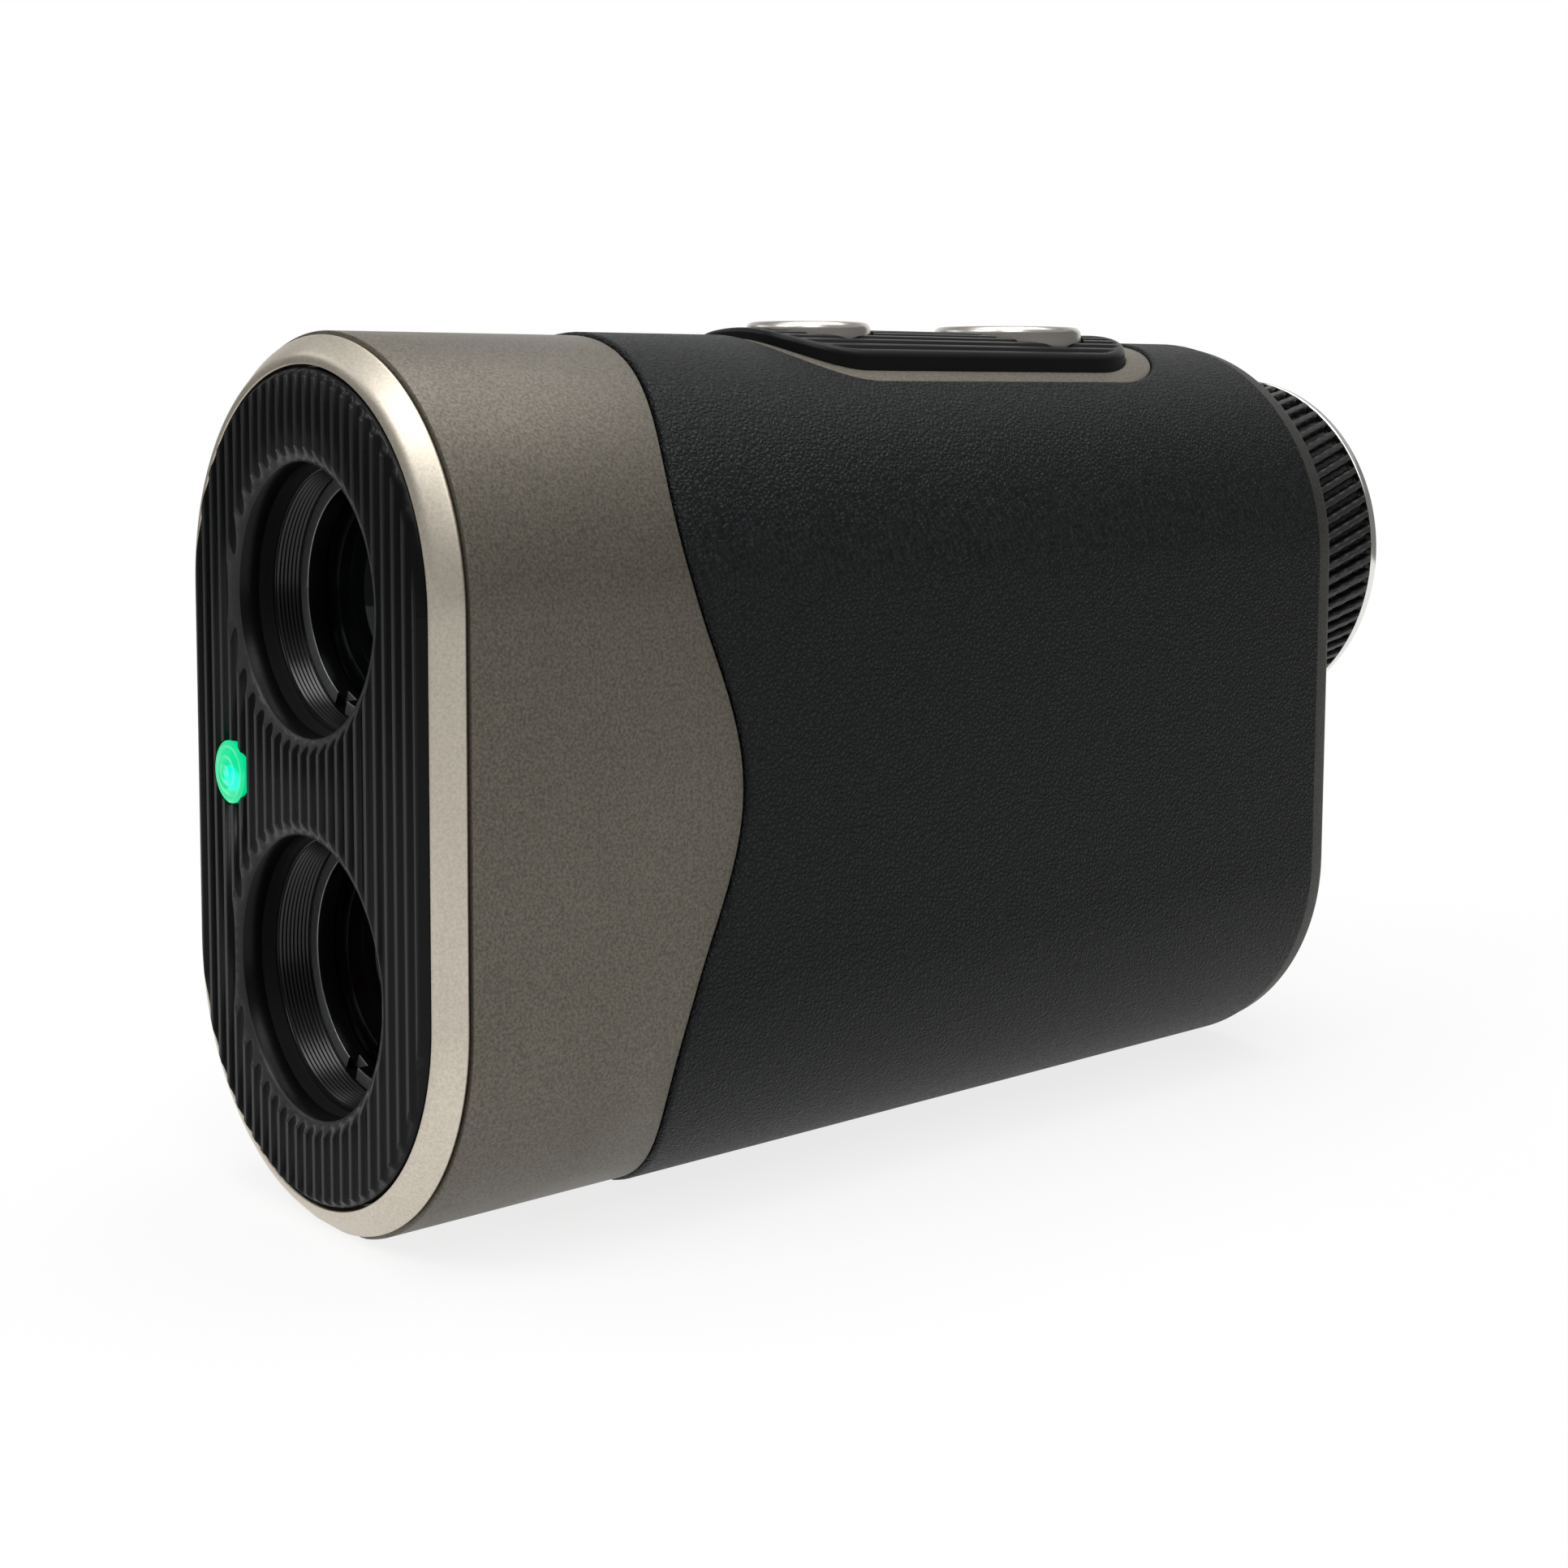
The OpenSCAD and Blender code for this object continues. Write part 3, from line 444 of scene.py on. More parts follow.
def ribbed_face(name, groove, lit_crest, lit_cone):
    """Black faceplate: painted shade in its grooves, painted light on its rib crests and on the satin
    cones round the lens openings.
    """
    made, nodes, links, shader, place = node_tree(name)
    parts = nodes.new("ShaderNodeSeparateXYZ")
    links.new(place, parts.inputs[0])
    along = parts.outputs["Y"]
    front = face_low.y
    height = remap(nodes, links, along, [(front + depth) * MM for depth in FACE_SHADE_DEPTHS])
    # Mask of the cones round the lens openings, which take a paler colour as painted light
    cone_light_mask = 0.0
    for axis, tube in ((UP_Z, "objective_barrel"), (LOW_Z, "receiver_barrel")):
        radius = bore_radius(tube)
        rim = (radius + CONE_W) * MM
        reach = from_axis(nodes, links, place, axis)
        slope = remap(nodes, links, reach, (radius * MM, rim), ((front + CONE_D) * MM, front * MM), False)
        miss = sums(nodes, links, "ABSOLUTE", sums(nodes, links, "SUBTRACT", along, slope))
        near = sums(nodes, links, "LESS_THAN", miss, CONE_MISS * MM)
        inside = sums(nodes, links, "LESS_THAN", reach, rim)
        here = sums(nodes, links, "MULTIPLY", near, inside)
        cone_light_mask = sums(nodes, links, "MAXIMUM", here, cone_light_mask)
    finish = nodes.new("ShaderNodeMix")
    finish.data_type = "RGBA"
    links.new(cone_light_mask, finish.inputs["Factor"])
    # Grooves darker than crests by depth: painted shade in the grooves and painted light on the crests
    links.new(tint(nodes, links, height, groove, lit_crest), finish.inputs["A"])
    fine = noise(nodes, links, place, FINE_GRAIN, FINE_DETAIL)
    # Paler colour of the cones is painted light, with a fine random grain in it
    pale = shades(lit_cone, CONE_PALE)[0]
    links.new(tint(nodes, links, fine, lit_cone, pale), finish.inputs["B"])
    links.new(finish.outputs["Result"], shader.inputs["Base Color"])
    links.new(spread(nodes, links, fine, *FACE_ROUGH), shader.inputs["Roughness"])
    shader.inputs["Specular IOR Level"].default_value = 0.15
    bump(nodes, links, shader, fine, BUMP_STRENGTH, RIB_RELIEF)
    return made


# Millimetres from the ring's outside, in the groove and at the crest, where the painted shade of the
# grooves and the painted light of the crests are full
RING_SHADE_DEPTHS = (-0.45, -0.05)
RING_ROUGH = (0.36, 0.46)


def ribbed(name, groove, lit_crest):
    """Black ring with painted shade in its grooves and painted light on its crests."""
    made, nodes, links, shader, place = node_tree(name)
    depth = remap(nodes, links, from_axis(nodes, links, place, UP_Z),
                  [(ring_high.x + offset) * MM for offset in RING_SHADE_DEPTHS])
    links.new(tint(nodes, links, depth, groove, lit_crest), shader.inputs["Base Color"])
    fine = noise(nodes, links, place, FINE_GRAIN, FINE_DETAIL)
    links.new(spread(nodes, links, fine, *RING_ROUGH), shader.inputs["Roughness"])
    shader.inputs["Specular IOR Level"].default_value = 0.35
    bump(nodes, links, shader, fine, BUMP_STRENGTH, RIB_RELIEF)
    return made


LED_RING = 0.85
LED_GLOW = (2.4, 0.3)
LED_DIM = -0.22
LED_GRAIN = 1500.0
LED_ROUGH = (0.12, 0.22)
LED_LIT = ((0.0, 0.64, 0.26), (0.0, 0.95, 0.64))
LED_BODY = ((0.0, 0.18, 0.07), (0.0, 0.26, 0.11))
# The wave texture multiplies its coordinate by 20 times its scale
WAVE_UNIT = 20
LED_HOT = Vector((0.9, -2.0, -0.4))


def light_window(name, hot):
    """Lit green window of the status light, palest at its hot spot."""
    made, nodes, links, shader, place = node_tree(name)
    fine = noise(nodes, links, place, LED_GRAIN)
    away = vectors(nodes, links, "SUBTRACT", place, hot)
    reach = vectors(nodes, links, "LENGTH", away)
    near = remap(nodes, links, reach, [limit * MM for limit in LED_GLOW])
    rings = nodes.new("ShaderNodeTexWave")
    rings.wave_type = "RINGS"
    rings.rings_direction = "Y"
    rings.inputs["Scale"].default_value = TURN / (WAVE_UNIT * LED_RING * MM)
    links.new(away, rings.inputs["Vector"])
    ringed = sums(nodes, links, "MULTIPLY_ADD", rings.outputs["Fac"], LED_DIM, near)
    links.new(tint(nodes, links, ringed, *LED_LIT), shader.inputs["Emission Color"])
    links.new(tint(nodes, links, fine, *LED_BODY), shader.inputs["Base Color"])
    links.new(spread(nodes, links, fine, *LED_ROUGH), shader.inputs["Roughness"])
    shader.inputs["Emission Strength"].default_value = 1.0
    shader.inputs["Coat Weight"].default_value = 0.15
    shader.inputs["Specular IOR Level"].default_value = 0.3
    return made


# Plain materials: colour, roughness, colour change, metal, grain, relief in millimetres, specular level.
# The last four are looks of single pieces.
PLAIN = {
    "bezel_metal": ((0.62, 0.565, 0.475), 0.44, 0.10, 1.0, 4200.0, 0.006),
    "gunmetal": ((0.152, 0.136, 0.108), 0.48, 0.34, 0.5, 4200.0, 0.014),
    "pad_black": ((0.0040, 0.0042, 0.0045), 0.36, 0.12, 0.0, 3500.0, 0.006, 0.15),
    "button_metal": ((0.56, 0.53, 0.49), 0.28, 0.04, 1.0, 5000.0, 0.003),
    "end_ring_metal": ((0.78, 0.77, 0.74), 0.14, 0.03, 1.0, 3000.0, 0.002),
    "inner_black": ((0.004, 0.0042, 0.0045), 0.20, 0.15, 0.0, 3000.0, 0.004, 0.8),
    "retainer_grey": ((0.20, 0.203, 0.205), 0.28, 0.10, 0.5, 3000.0, 0.004),
    "case_plastic": ((0.040, 0.042, 0.045), 0.5),
    "seal_rubber": ((0.007, 0.007, 0.0074), 0.55, 0.15, 0.0, 2500.0, 0.012, 0.3),
    "screw_steel": ((0.40, 0.41, 0.42), 0.28, 0.08, 1.0, 3500.0, 0.004),
    "board_green": ((0.012, 0.09, 0.036), 0.38, 0.25, 0.0, 1200.0, 0.010),
    "chip_black": ((0.012, 0.012, 0.013), 0.48, 0.2, 0.0, 3000.0, 0.006),
    "emitter_chip": ((0.75, 0.70, 0.52), 0.2, 0.06, 0.0, 2000.0, 0.004),
    "brass_part": ((0.55, 0.38, 0.13), 0.26, 0.08, 1.0, 3500.0, 0.004),
    "cell_wrap": ((0.22, 0.24, 0.27), 0.25, 0.06, 0.0, 800.0, 0.004),
    "spring_steel": ((0.50, 0.51, 0.53), 0.25, 0.06, 1.0, 3500.0, 0.004),
    "cap_grey": ((0.026, 0.027, 0.028), 0.40, 0.15, 0.0, 3500.0, 0.006, 0.45),
    "plate_black": ((0.0050, 0.0053, 0.0057), 0.30, 0.12, 0.0, 3500.0, 0.005, 0.15),
    "dark_trim": ((0.062, 0.060, 0.054), 0.48, 0.30, 0.5, 4200.0, 0.014),
    "thread_black": ((0.004, 0.0042, 0.0045), 0.26, 0.15, 0.0, 3000.0, 0.004, 0.38),
}
materials = {name: moulded(name, *values) for name, values in PLAIN.items()}
materials.update({
    # Faceplate colours: groove as painted shade, crest as painted light, cone as painted light
    "face_black": ribbed_face("face_black", (0.0030, 0.0032, 0.0034), (0.014, 0.0144, 0.0148),
                              (0.036, 0.0368, 0.0366)),
    "wrap_black": grained("wrap_black", (0.0066, 0.0078, 0.0086)),
    # Dioptre ring colours: groove as painted shade, crest as painted light
    "ring_black": ribbed("ring_black", (0.0025, 0.0026, 0.0026), (0.022, 0.0225, 0.022)),
    "status_light": light_window("status_light", (middle("led_lens") + LED_HOT) * MM),
    "lens_glass": glass("lens_glass", (0.0025, 0.003, 0.0035)),
    "filter_glass": glass("filter_glass", (0.0035, 0.002, 0.0023)),
})


# CAD nodes take the material of their slot, apart from two with a look of their own

EDGE_SOFTENED = ("faceplate", "rear_plate", "rear_screws", "battery_cap", "tripod_insert",
                 "objective_barrel", "receiver_barrel")
EDGE_W = 0.06
EDGE_ANGLE = math.radians(40)
EDGE_SEGMENTS = 2
WELD_BEFORE = 0.001
WELD_AFTER = 0.004
OWN_LOOKS = {"battery_cap": "cap_grey", "rear_plate": "plate_black"}


def soften_edges(node):
    """Bevels the sharp edges and welds away the slivers that a bevel leaves."""
    node.modifiers.new("weld", "WELD").merge_threshold = WELD_BEFORE * MM
    soft = node.modifiers.new("soft_edges", "BEVEL")
    soft.width = EDGE_W * MM
    soft.segments = EDGE_SEGMENTS
    soft.limit_method = "ANGLE"
    soft.angle_limit = EDGE_ANGLE
    node.modifiers.new("clean_edges", "WELD").merge_threshold = WELD_AFTER * MM


for part in frame["record"]["subparts"]:
    node = frame["nodes"][part["node"]]
    node.data.materials.clear()
    look = OWN_LOOKS.get(part["node"], part["material_slot"])
    node.data.materials.append(materials[look])
    if part["node"] in EDGE_SOFTENED:
        soften_edges(node)


# Front bezel: flat lip, soft shoulder and bevel

BEVEL_W = 2.0
BEZEL_SEAM = 0.15
LIP_R = HALF_W - BEVEL_W
FACE_GAP = 0.2
FACE_R = face_high.x + FACE_GAP
BEVEL_Y = nose_low.y - BEZEL_SEAM
LEDGE_W = 1.2
SPIGOT_GAP = 0.1
LEDGE_R = FACE_R - LEDGE_W
SPIGOT_R = HALF_W - SKIN - SPIGOT_GAP
SHOULDER_R = 1.4
SEAM_EDGE = 0.22
FACE_EDGE = 0.12
HIDDEN_EDGE = 0.1
bezel_profile = rounded([
    (HALF_W, BEVEL_Y, SEAM_EDGE), (LIP_R, LIP_Y, SHOULDER_R), (FACE_R, LIP_Y, FACE_EDGE),
    (FACE_R, face_high.y, HIDDEN_EDGE), (LEDGE_R, face_high.y, HIDDEN_EDGE),
    (LEDGE_R, bezel_high.y, HIDDEN_EDGE), (SPIGOT_R, bezel_high.y, HIDDEN_EDGE),
    (SPIGOT_R, BEVEL_Y, 0.0)])
verts, faces = sweep(lambda s: bezel_profile)
finish_mesh("bezel_shell", verts, faces, "housing", "bezel_metal", ["front_bezel"])


# Nose sleeve, ending in the wavy seam

NOSE_EDGE = 0.10
INNER_EDGE = 0.05


def nose_profile(station):
    """Section of the nose sleeve, as long as the seam asks at this station."""
    seam = seam_at(body_point(station, HALF_W, 0.0)[2])
    inner = HALF_W - SKIN
    return rounded([(HALF_W, nose_low.y, NOSE_EDGE), (HALF_W, seam, NOSE_EDGE),
                    (inner, seam, INNER_EDGE), (inner, nose_low.y, INNER_EDGE)])


verts, faces = sweep(nose_profile)
finish_mesh("nose_sleeve", verts, faces, "housing", "gunmetal", ["nose_housing"], sharp=60.0)


# Rear trim

TRIM_W = 2.0
TRIM_EDGE = 0.6
TRIM_INNER_EDGE = 0.15
trim_profile = rounded([
    (HALF_W, rear_low.y, HIDDEN_EDGE), (HALF_W, rear_high.y, TRIM_EDGE),
    (HALF_W - TRIM_W, rear_high.y, TRIM_INNER_EDGE), (HALF_W - TRIM_W, rear_low.y, HIDDEN_EDGE)])
verts, faces = sweep(lambda s: trim_profile)
finish_mesh("rear_band", verts, faces, "housing", "gunmetal", ["rear_trim"],
            look=materials["dark_trim"])


# Skins on the body: a flat grid of (s, y), with s along the perimeter, bent round the body

def skin_point(s, y, height, radius):
    """Point above the body at perimeter place s, measured on a body of that radius."""
    quarter = math.pi * radius / 2
    sign = -1.0 if s < 0 else 1.0
    s = abs(s)
    if s <= quarter:
        out_x, out_z, axis = math.sin(s / radius), math.cos(s / radius), UP_Z
    elif s <= quarter + SIDE:
        out_x, out_z, axis = 1.0, 0.0, UP_Z - (s - quarter)
    else:
        turn = (s - SIDE) / radius
        out_x, out_z, axis = math.sin(turn), math.cos(turn), LOW_Z
    reach = radius + height
    return (sign * reach * out_x, y, max(axis + reach * out_z, 0.0))


def skin(places, quads, radius, edge, depth, steps=4, period=None):
    """Shell with rounded rims from a grid of places; returns points and faces."""
    uses, owner = {}, {}
    for quad in quads:
        for a, b in zip(quad, quad[1:] + quad[:1]):
            key = (min(a, b), max(a, b))
            uses[key] = uses.get(key, 0) + 1
            owner[key] = (a, b)
    rim = [owner[key] for key, n in uses.items() if n == 1]

    def step(a, b):
        ds = places[b][0] - places[a][0]
        if period:
            ds -= period * round(ds / period)
        return ds, places[b][1] - places[a][1]

    away = {}
    for a, b in rim:
        ds, dy = step(a, b)
        size = math.hypot(ds, dy)
        for v in (a, b):
            old = away.get(v, (0.0, 0.0))
            away[v] = (old[0] + dy / size, old[1] - ds / size)
    for v, (u, w) in away.items():
        size = math.hypot(u, w)
        away[v] = (u / size, w / size)

    verts, faces = [], []

    def layer(inset, height):
        first = len(verts)
        for i, (s, y) in enumerate(places):
            u, w = away.get(i, (0.0, 0.0))
            verts.append(skin_point(s - u * inset, y - w * inset, height, radius))
        return first

    top = layer(edge, 0.0)
    faces += [tuple(top + i for i in quad) for quad in quads]
    last = {v: top + v for v in away}
    rings = [(edge * (1 - math.sin(t)), -edge * (1 - math.cos(t)))
             for t in (math.pi / 2 * (k + 1) / steps for k in range(steps))]
    for inset, height in rings:
        ring = {}
        for v, (u, w) in away.items():
            s, y = places[v]
            ring[v] = len(verts)
            verts.append(skin_point(s - u * inset, y - w * inset, height, radius))
        faces += [(last[a], last[b], ring[b], ring[a]) for a, b in rim]
        last = ring
    under = layer(0.0, -depth)
    faces += [tuple(under + i for i in reversed(quad)) for quad in quads]
    faces += [(last[a], last[b], under + b, under + a) for a, b in rim]
    return verts, faces


def panel_y(x, grow, front):
    """How far the button panel's outline, grown from the pad, curves in at x at its front or rear."""
    half = PAD_HALF + grow
    radius, sign = (PAD_FRONT_R + grow, 1.0) if front else (PAD_REAR_R + grow, -1.0)
    past = max(abs(x) - (half - radius), 0.0)
    drop = radius - math.sqrt(max(radius * radius - past * past, 0.0))
    return sign * drop


# Grip wrap with the opening for the button panel

OPENING_STEPS = 16
SHOULDER_STEPS = 28
FLANK_STEPS = 20
BASE_STEPS = 40
FRONT_ROWS = 12
MID_ROWS = 24
REAR_ROWS = 8
WRAP_EDGE = 0.4
WRAP_EDGE_STEPS = 5


def wrap_grid():
    """Grid of places round the body from the seam to the rear, without the panel's opening."""
    grow = TRIM_GROW + OPENING_GAP
    half = PAD_HALF + grow
    y_front = trim_low.y - OPENING_GAP
    y_rear = trim_high.y + OPENING_GAP
    y_a = y_front + panel_y(half, grow, True)
    y_b = y_rear + panel_y(half, grow, False)
    radius = WRAP_R
    quarter = math.pi * radius / 2
    total = 2 * (2 * quarter + SIDE)
    s_half = radius * math.asin(half / radius)
    inner = [half * math.sin(math.pi / 2 * i / OPENING_STEPS) for i in range(OPENING_STEPS)]
    right = [radius * math.asin(x / radius) for x in inner] + [s_half]
    for start, length, steps in ((s_half, quarter - s_half, SHOULDER_STEPS), (quarter, SIDE, FLANK_STEPS),
                                 (quarter + SIDE, quarter, BASE_STEPS)):
        right += [start + length * i / steps for i in range(1, steps + 1)]
    columns = [-s for s in reversed(right[1:-1])] + right
    places, index, quads = [], {}, []

    def add(key, s, y):
        index[key] = len(places)
        places.append((s, y))

    for c, s in enumerate(columns):
        z = skin_point(s, 0.0, 0.0, radius)[2]
        seam = seam_at(z) + SEAM_SHOWN
        inside = abs(s) < s_half - SAME
        x = radius * math.sin(min(abs(s), s_half) / radius)
        front = y_front + panel_y(x, grow, True) if inside else y_a
        rear = y_rear + panel_y(x, grow, False) if inside else y_b
        for r in range(FRONT_ROWS + 1):
            add((c, r), s, seam + (front - seam) * r / FRONT_ROWS)
        if not inside:
            for r in range(1, MID_ROWS):
                add((c, FRONT_ROWS + r), s, front + (rear - front) * r / MID_ROWS)
        base = FRONT_ROWS + MID_ROWS
        for r in range(REAR_ROWS + 1):
            add((c, base + r), s, rear + (wrap_high.y - rear) * r / REAR_ROWS)
    count = len(columns)
    for c in range(count):
        d = (c + 1) % count
        for r in range(FRONT_ROWS + MID_ROWS + REAR_ROWS):
            keys = [(c, r), (d, r), (d, r + 1), (c, r + 1)]
            hole = FRONT_ROWS <= r < FRONT_ROWS + MID_ROWS
            if hole and min(abs(columns[c]), abs(columns[d])) < s_half - SAME:
                continue
            quads.append(tuple(index[k] for k in keys))
    return places, quads, radius, total


places, quads, radius, total = wrap_grid()
verts, faces = skin(places, quads, radius, WRAP_EDGE, SKIN, WRAP_EDGE_STEPS, total)
finish_mesh("grip_skin", verts, faces, "housing", "wrap_black", ["grip_wrap"], sharp=60.0)


# Frame round the pad, wider behind it

CORNER_STEPS = 48
PANEL_SIDES = 24
FRAME_BANDS = 4
FRAME_EDGE = 0.22


def panel_loop(grow, front_y, rear_y):
    """Closed outline of the panel as (x, y), starting at the front and running towards +X."""
    half = PAD_HALF + grow
    points = []
    corner = [half * math.sin(math.pi / 2 * i / CORNER_STEPS) for i in range(CORNER_STEPS + 1)]
    for x in corner:
        points.append((x, front_y + panel_y(x, grow, True)))
    y_a, y_b = points[-1][1], rear_y + panel_y(half, grow, False)
    for i in range(1, PANEL_SIDES):
        points.append((half, y_a + (y_b - y_a) * i / PANEL_SIDES))
    for x in reversed(corner):
        points.append((x, rear_y + panel_y(x, grow, False)))
    mirror = [(-x, y) for x, y in reversed(points[1:-1])]
    return points + mirror


def frame_grid():
    """Grid of places between the pad's outline and the frame's outline."""
    inner = panel_loop(PAD_GAP, pad_low.y - PAD_GAP, pad_high.y + PAD_GAP)
    outer = panel_loop(TRIM_GROW, trim_low.y, trim_high.y)
    count = len(inner)
    places, quads = [], []
    for k in range(FRAME_BANDS + 1):
        t = k / FRAME_BANDS
        for (x0, y0), (x1, y1) in zip(inner, outer):
            x = x0 + (x1 - x0) * t
            places.append((HALF_W * math.asin(x / HALF_W), y0 + (y1 - y0) * t))
    for k in range(FRAME_BANDS):
        for j in range(count):
            a, b = k * count + j, k * count + (j + 1) % count
            quads.append((a, a + count, b + count, b))
    return places, quads


places, quads = frame_grid()
verts, faces = skin(places, quads, HALF_W, FRAME_EDGE, SKIN)
finish_mesh("panel_frame", verts, faces, "housing", "gunmetal", ["button_frame"], sharp=60.0)


# Ribbed pad with a smooth border

PAD_ROUND = 0.5
PAD_RIB = 1.4
PAD_GROOVE = 0.3
PAD_BORDER = 0.8
BUTTON_GAP = 0.3
GROOVE_SIDE = (0.15, 0.85)
BORDER_FADE = 0.2
PAD_SIDE_STEPS = 14
PAD_SIDE_SHARE = 0.12
PAD_STEP = 0.1
PAD_MIDS = 24
PAD_DEPTH = 5.0
# Rows near the pad's ends, close together where its edge is round
PAD_ENDS = (0.0, 0.01, 0.04, 0.09, 0.16, 0.25, 0.36, 0.48, 0.58, 0.68, 0.78, 0.88, 0.98, 1.1, 1.3, 1.7,
            2.4, 3.4)


def outline_gap(x, y):
    """Distance from a point inside the pad's outline to that outline."""
    x = abs(x)
    best = PAD_HALF - x
    for radius, edge, sign in ((PAD_FRONT_R, pad_low.y, 1.0), (PAD_REAR_R, pad_high.y, -1.0)):
        along = sign * (y - edge)
        cx, cy = PAD_HALF - radius, radius
        if x > cx and along < cy:
            best = min(best, radius - math.hypot(x - cx, along - cy))
        else:
            best = min(best, along)
    return max(best, 0.0)


def pad_height(x, y):
    """Height of the pad: a crown, a round edge and grooves inside a smooth border."""
    gap = outline_gap(x, y)
    z = CROWN_Z - (PAD_CURVE - math.sqrt(PAD_CURVE * PAD_CURVE - x * x))
    if gap < PAD_ROUND:
        z -= PAD_ROUND - math.sqrt(PAD_ROUND * PAD_ROUND - (PAD_ROUND - gap) ** 2)
    wave = 0.5 + 0.5 * math.cos(TURN * (x / PAD_RIB - 0.5))
    groove = smooth_step(*GROOVE_SIDE, wave)
    return z - PAD_GROOVE * groove * smooth_step(PAD_BORDER - BORDER_FADE, PAD_BORDER + BORDER_FADE, gap)


def pad_mesh():
    """Ribbed top of the pad, with straight sides and a flat foot."""
    side = [PAD_HALF * (1 - math.cos(math.pi / 2 * i / PAD_SIDE_STEPS)) * PAD_SIDE_SHARE
            for i in range(PAD_SIDE_STEPS + 1)]
    flat_from = PAD_HALF - side[-1]
    steps = int(2 * flat_from / PAD_STEP)
    xs = [-PAD_HALF + d for d in side] + [flat_from * (2 * i / steps - 1) for i in range(1, steps)]
    xs += [PAD_HALF - d for d in reversed(side)]
    end = PAD_ENDS[-1]
    rows = []
    for x in xs:
        y0 = pad_low.y + panel_y(x, 0.0, True)
        y1 = pad_high.y + panel_y(x, 0.0, False)
        ys = [y0 + e for e in PAD_ENDS]
        ys += [y0 + end + (y1 - y0 - 2 * end) * i / PAD_MIDS for i in range(1, PAD_MIDS)]
        ys += [y1 - e for e in reversed(PAD_ENDS)]
        rows.append([(x, y, pad_height(x, y)) for y in ys])
    verts, faces = loft(rows, closed_rows=False, closed_loop=False)
    count, last = len(rows[0]), len(rows) - 1
    loop = list(range(count)) + [i * count + count - 1 for i in range(1, last + 1)]
    loop += [last * count + j for j in range(count - 2, -1, -1)]
    loop += [i * count for i in range(last - 1, 0, -1)]
    first = len(verts)
    foot = CROWN_Z - PAD_DEPTH
    verts += [(verts[i][0], verts[i][1], foot) for i in loop]
    for k in range(len(loop)):
        n = (k + 1) % len(loop)
        faces.append((loop[k], loop[n], first + n, first + k))
    faces.append(tuple(range(first, first + len(loop))))
    return verts, faces


HOLE_STEPS = 96


def cut_round(obj, centre, radius, low, high):
    """Cuts an upright round hole through a piece."""
    shape = bmesh.new()
    place = Matrix.Translation(Vector((centre.x, centre.y, (low + high) / 2)) * MM)
    bmesh.ops.create_cone(shape, cap_ends=True, segments=HOLE_STEPS, radius1=radius * MM,
                          radius2=radius * MM, depth=(high - low) * MM, matrix=place)
    mesh = bpy.data.meshes.new("cutter")
    shape.to_mesh(mesh)
    shape.free()
    tool = bpy.data.objects.new("cutter", mesh)
    bpy.context.scene.collection.objects.link(tool)
    cut = obj.modifiers.new("cut", "BOOLEAN")
    cut.operation = "DIFFERENCE"
    cut.solver = "EXACT"
    cut.object = tool
    seen = obj.evaluated_get(bpy.context.evaluated_depsgraph_get())
    made = bpy.data.meshes.new_from_object(seen)
    obj.modifiers.clear()
    old, obj.data = obj.data, made
    bpy.data.meshes.remove(old)
    bpy.data.objects.remove(tool)
    bpy.data.meshes.remove(mesh)


verts, faces = pad_mesh()
pad = finish_mesh("ribbed_pad", verts, faces, "housing", "pad_black", ["button_pad"], sharp=50.0)


# Dished push buttons on their stems

BUTTON_DISH = 0.35
BUTTON_RIM = 1.15
STEM_R = 2.5
HOLE_BELOW = 8.0
HOLE_ABOVE = 2.0
BUTTON_BASE = 1.6
DISH_STEPS = 16
DISH_SINK = 0.02
RIM_IN = 0.4
RIM_R = 0.75
RIM_STEPS = 8


def push_button(name, node, body):
    """Cuts the button's hole in the pad and turns the button."""
    low, high = span(node)
    centre = (low + high) / 2
    radius = (high.x - low.x) / 2
    cut_round(pad, centre, radius + BUTTON_GAP, CROWN_Z - HOLE_BELOW, CROWN_Z + HOLE_ABOVE)
    flat = radius - BUTTON_RIM
    base = CROWN_Z - BUTTON_BASE
    dish = []
    for i in range(DISH_STEPS + 1):
        t = i / DISH_STEPS
        dish.append((flat * t, high.z - BUTTON_DISH * (1 - t ** 2) - DISH_SINK))
    shoulder = rounded([
        (flat - RIM_IN, high.z, 0.0), (radius, high.z, RIM_R), (radius, base, HIDDEN_EDGE),
        (STEM_R, base, HIDDEN_EDGE), (STEM_R, low.z, HIDDEN_EDGE), (0.0, low.z, 0.0)], RIM_STEPS)
    verts, faces = lathe(dish + shoulder[1:], centre, "Z")
    return finish_mesh(name, verts, faces, body, "button_metal", [node], sharp=50.0)


push_button("power_cap", "power_button", "power_key")
push_button("mode_cap", "mode_button", "mode_key")


# Dioptre ring with slanted ribs

RIB_DEPTH = 0.8
RIB_SLANT = math.tan(math.radians(18))
RIB_PITCH = 1.58
RIB_END = 0.2
RING_R = ring_high.x
RING_BORE = 14.06
RIB_STEPS = 14
RIB_ROWS = 24
RIB_SIDE = (0.38, 0.62)
RIB_ENDS = (0.0, 0.02, 0.06, 0.12, RIB_END)


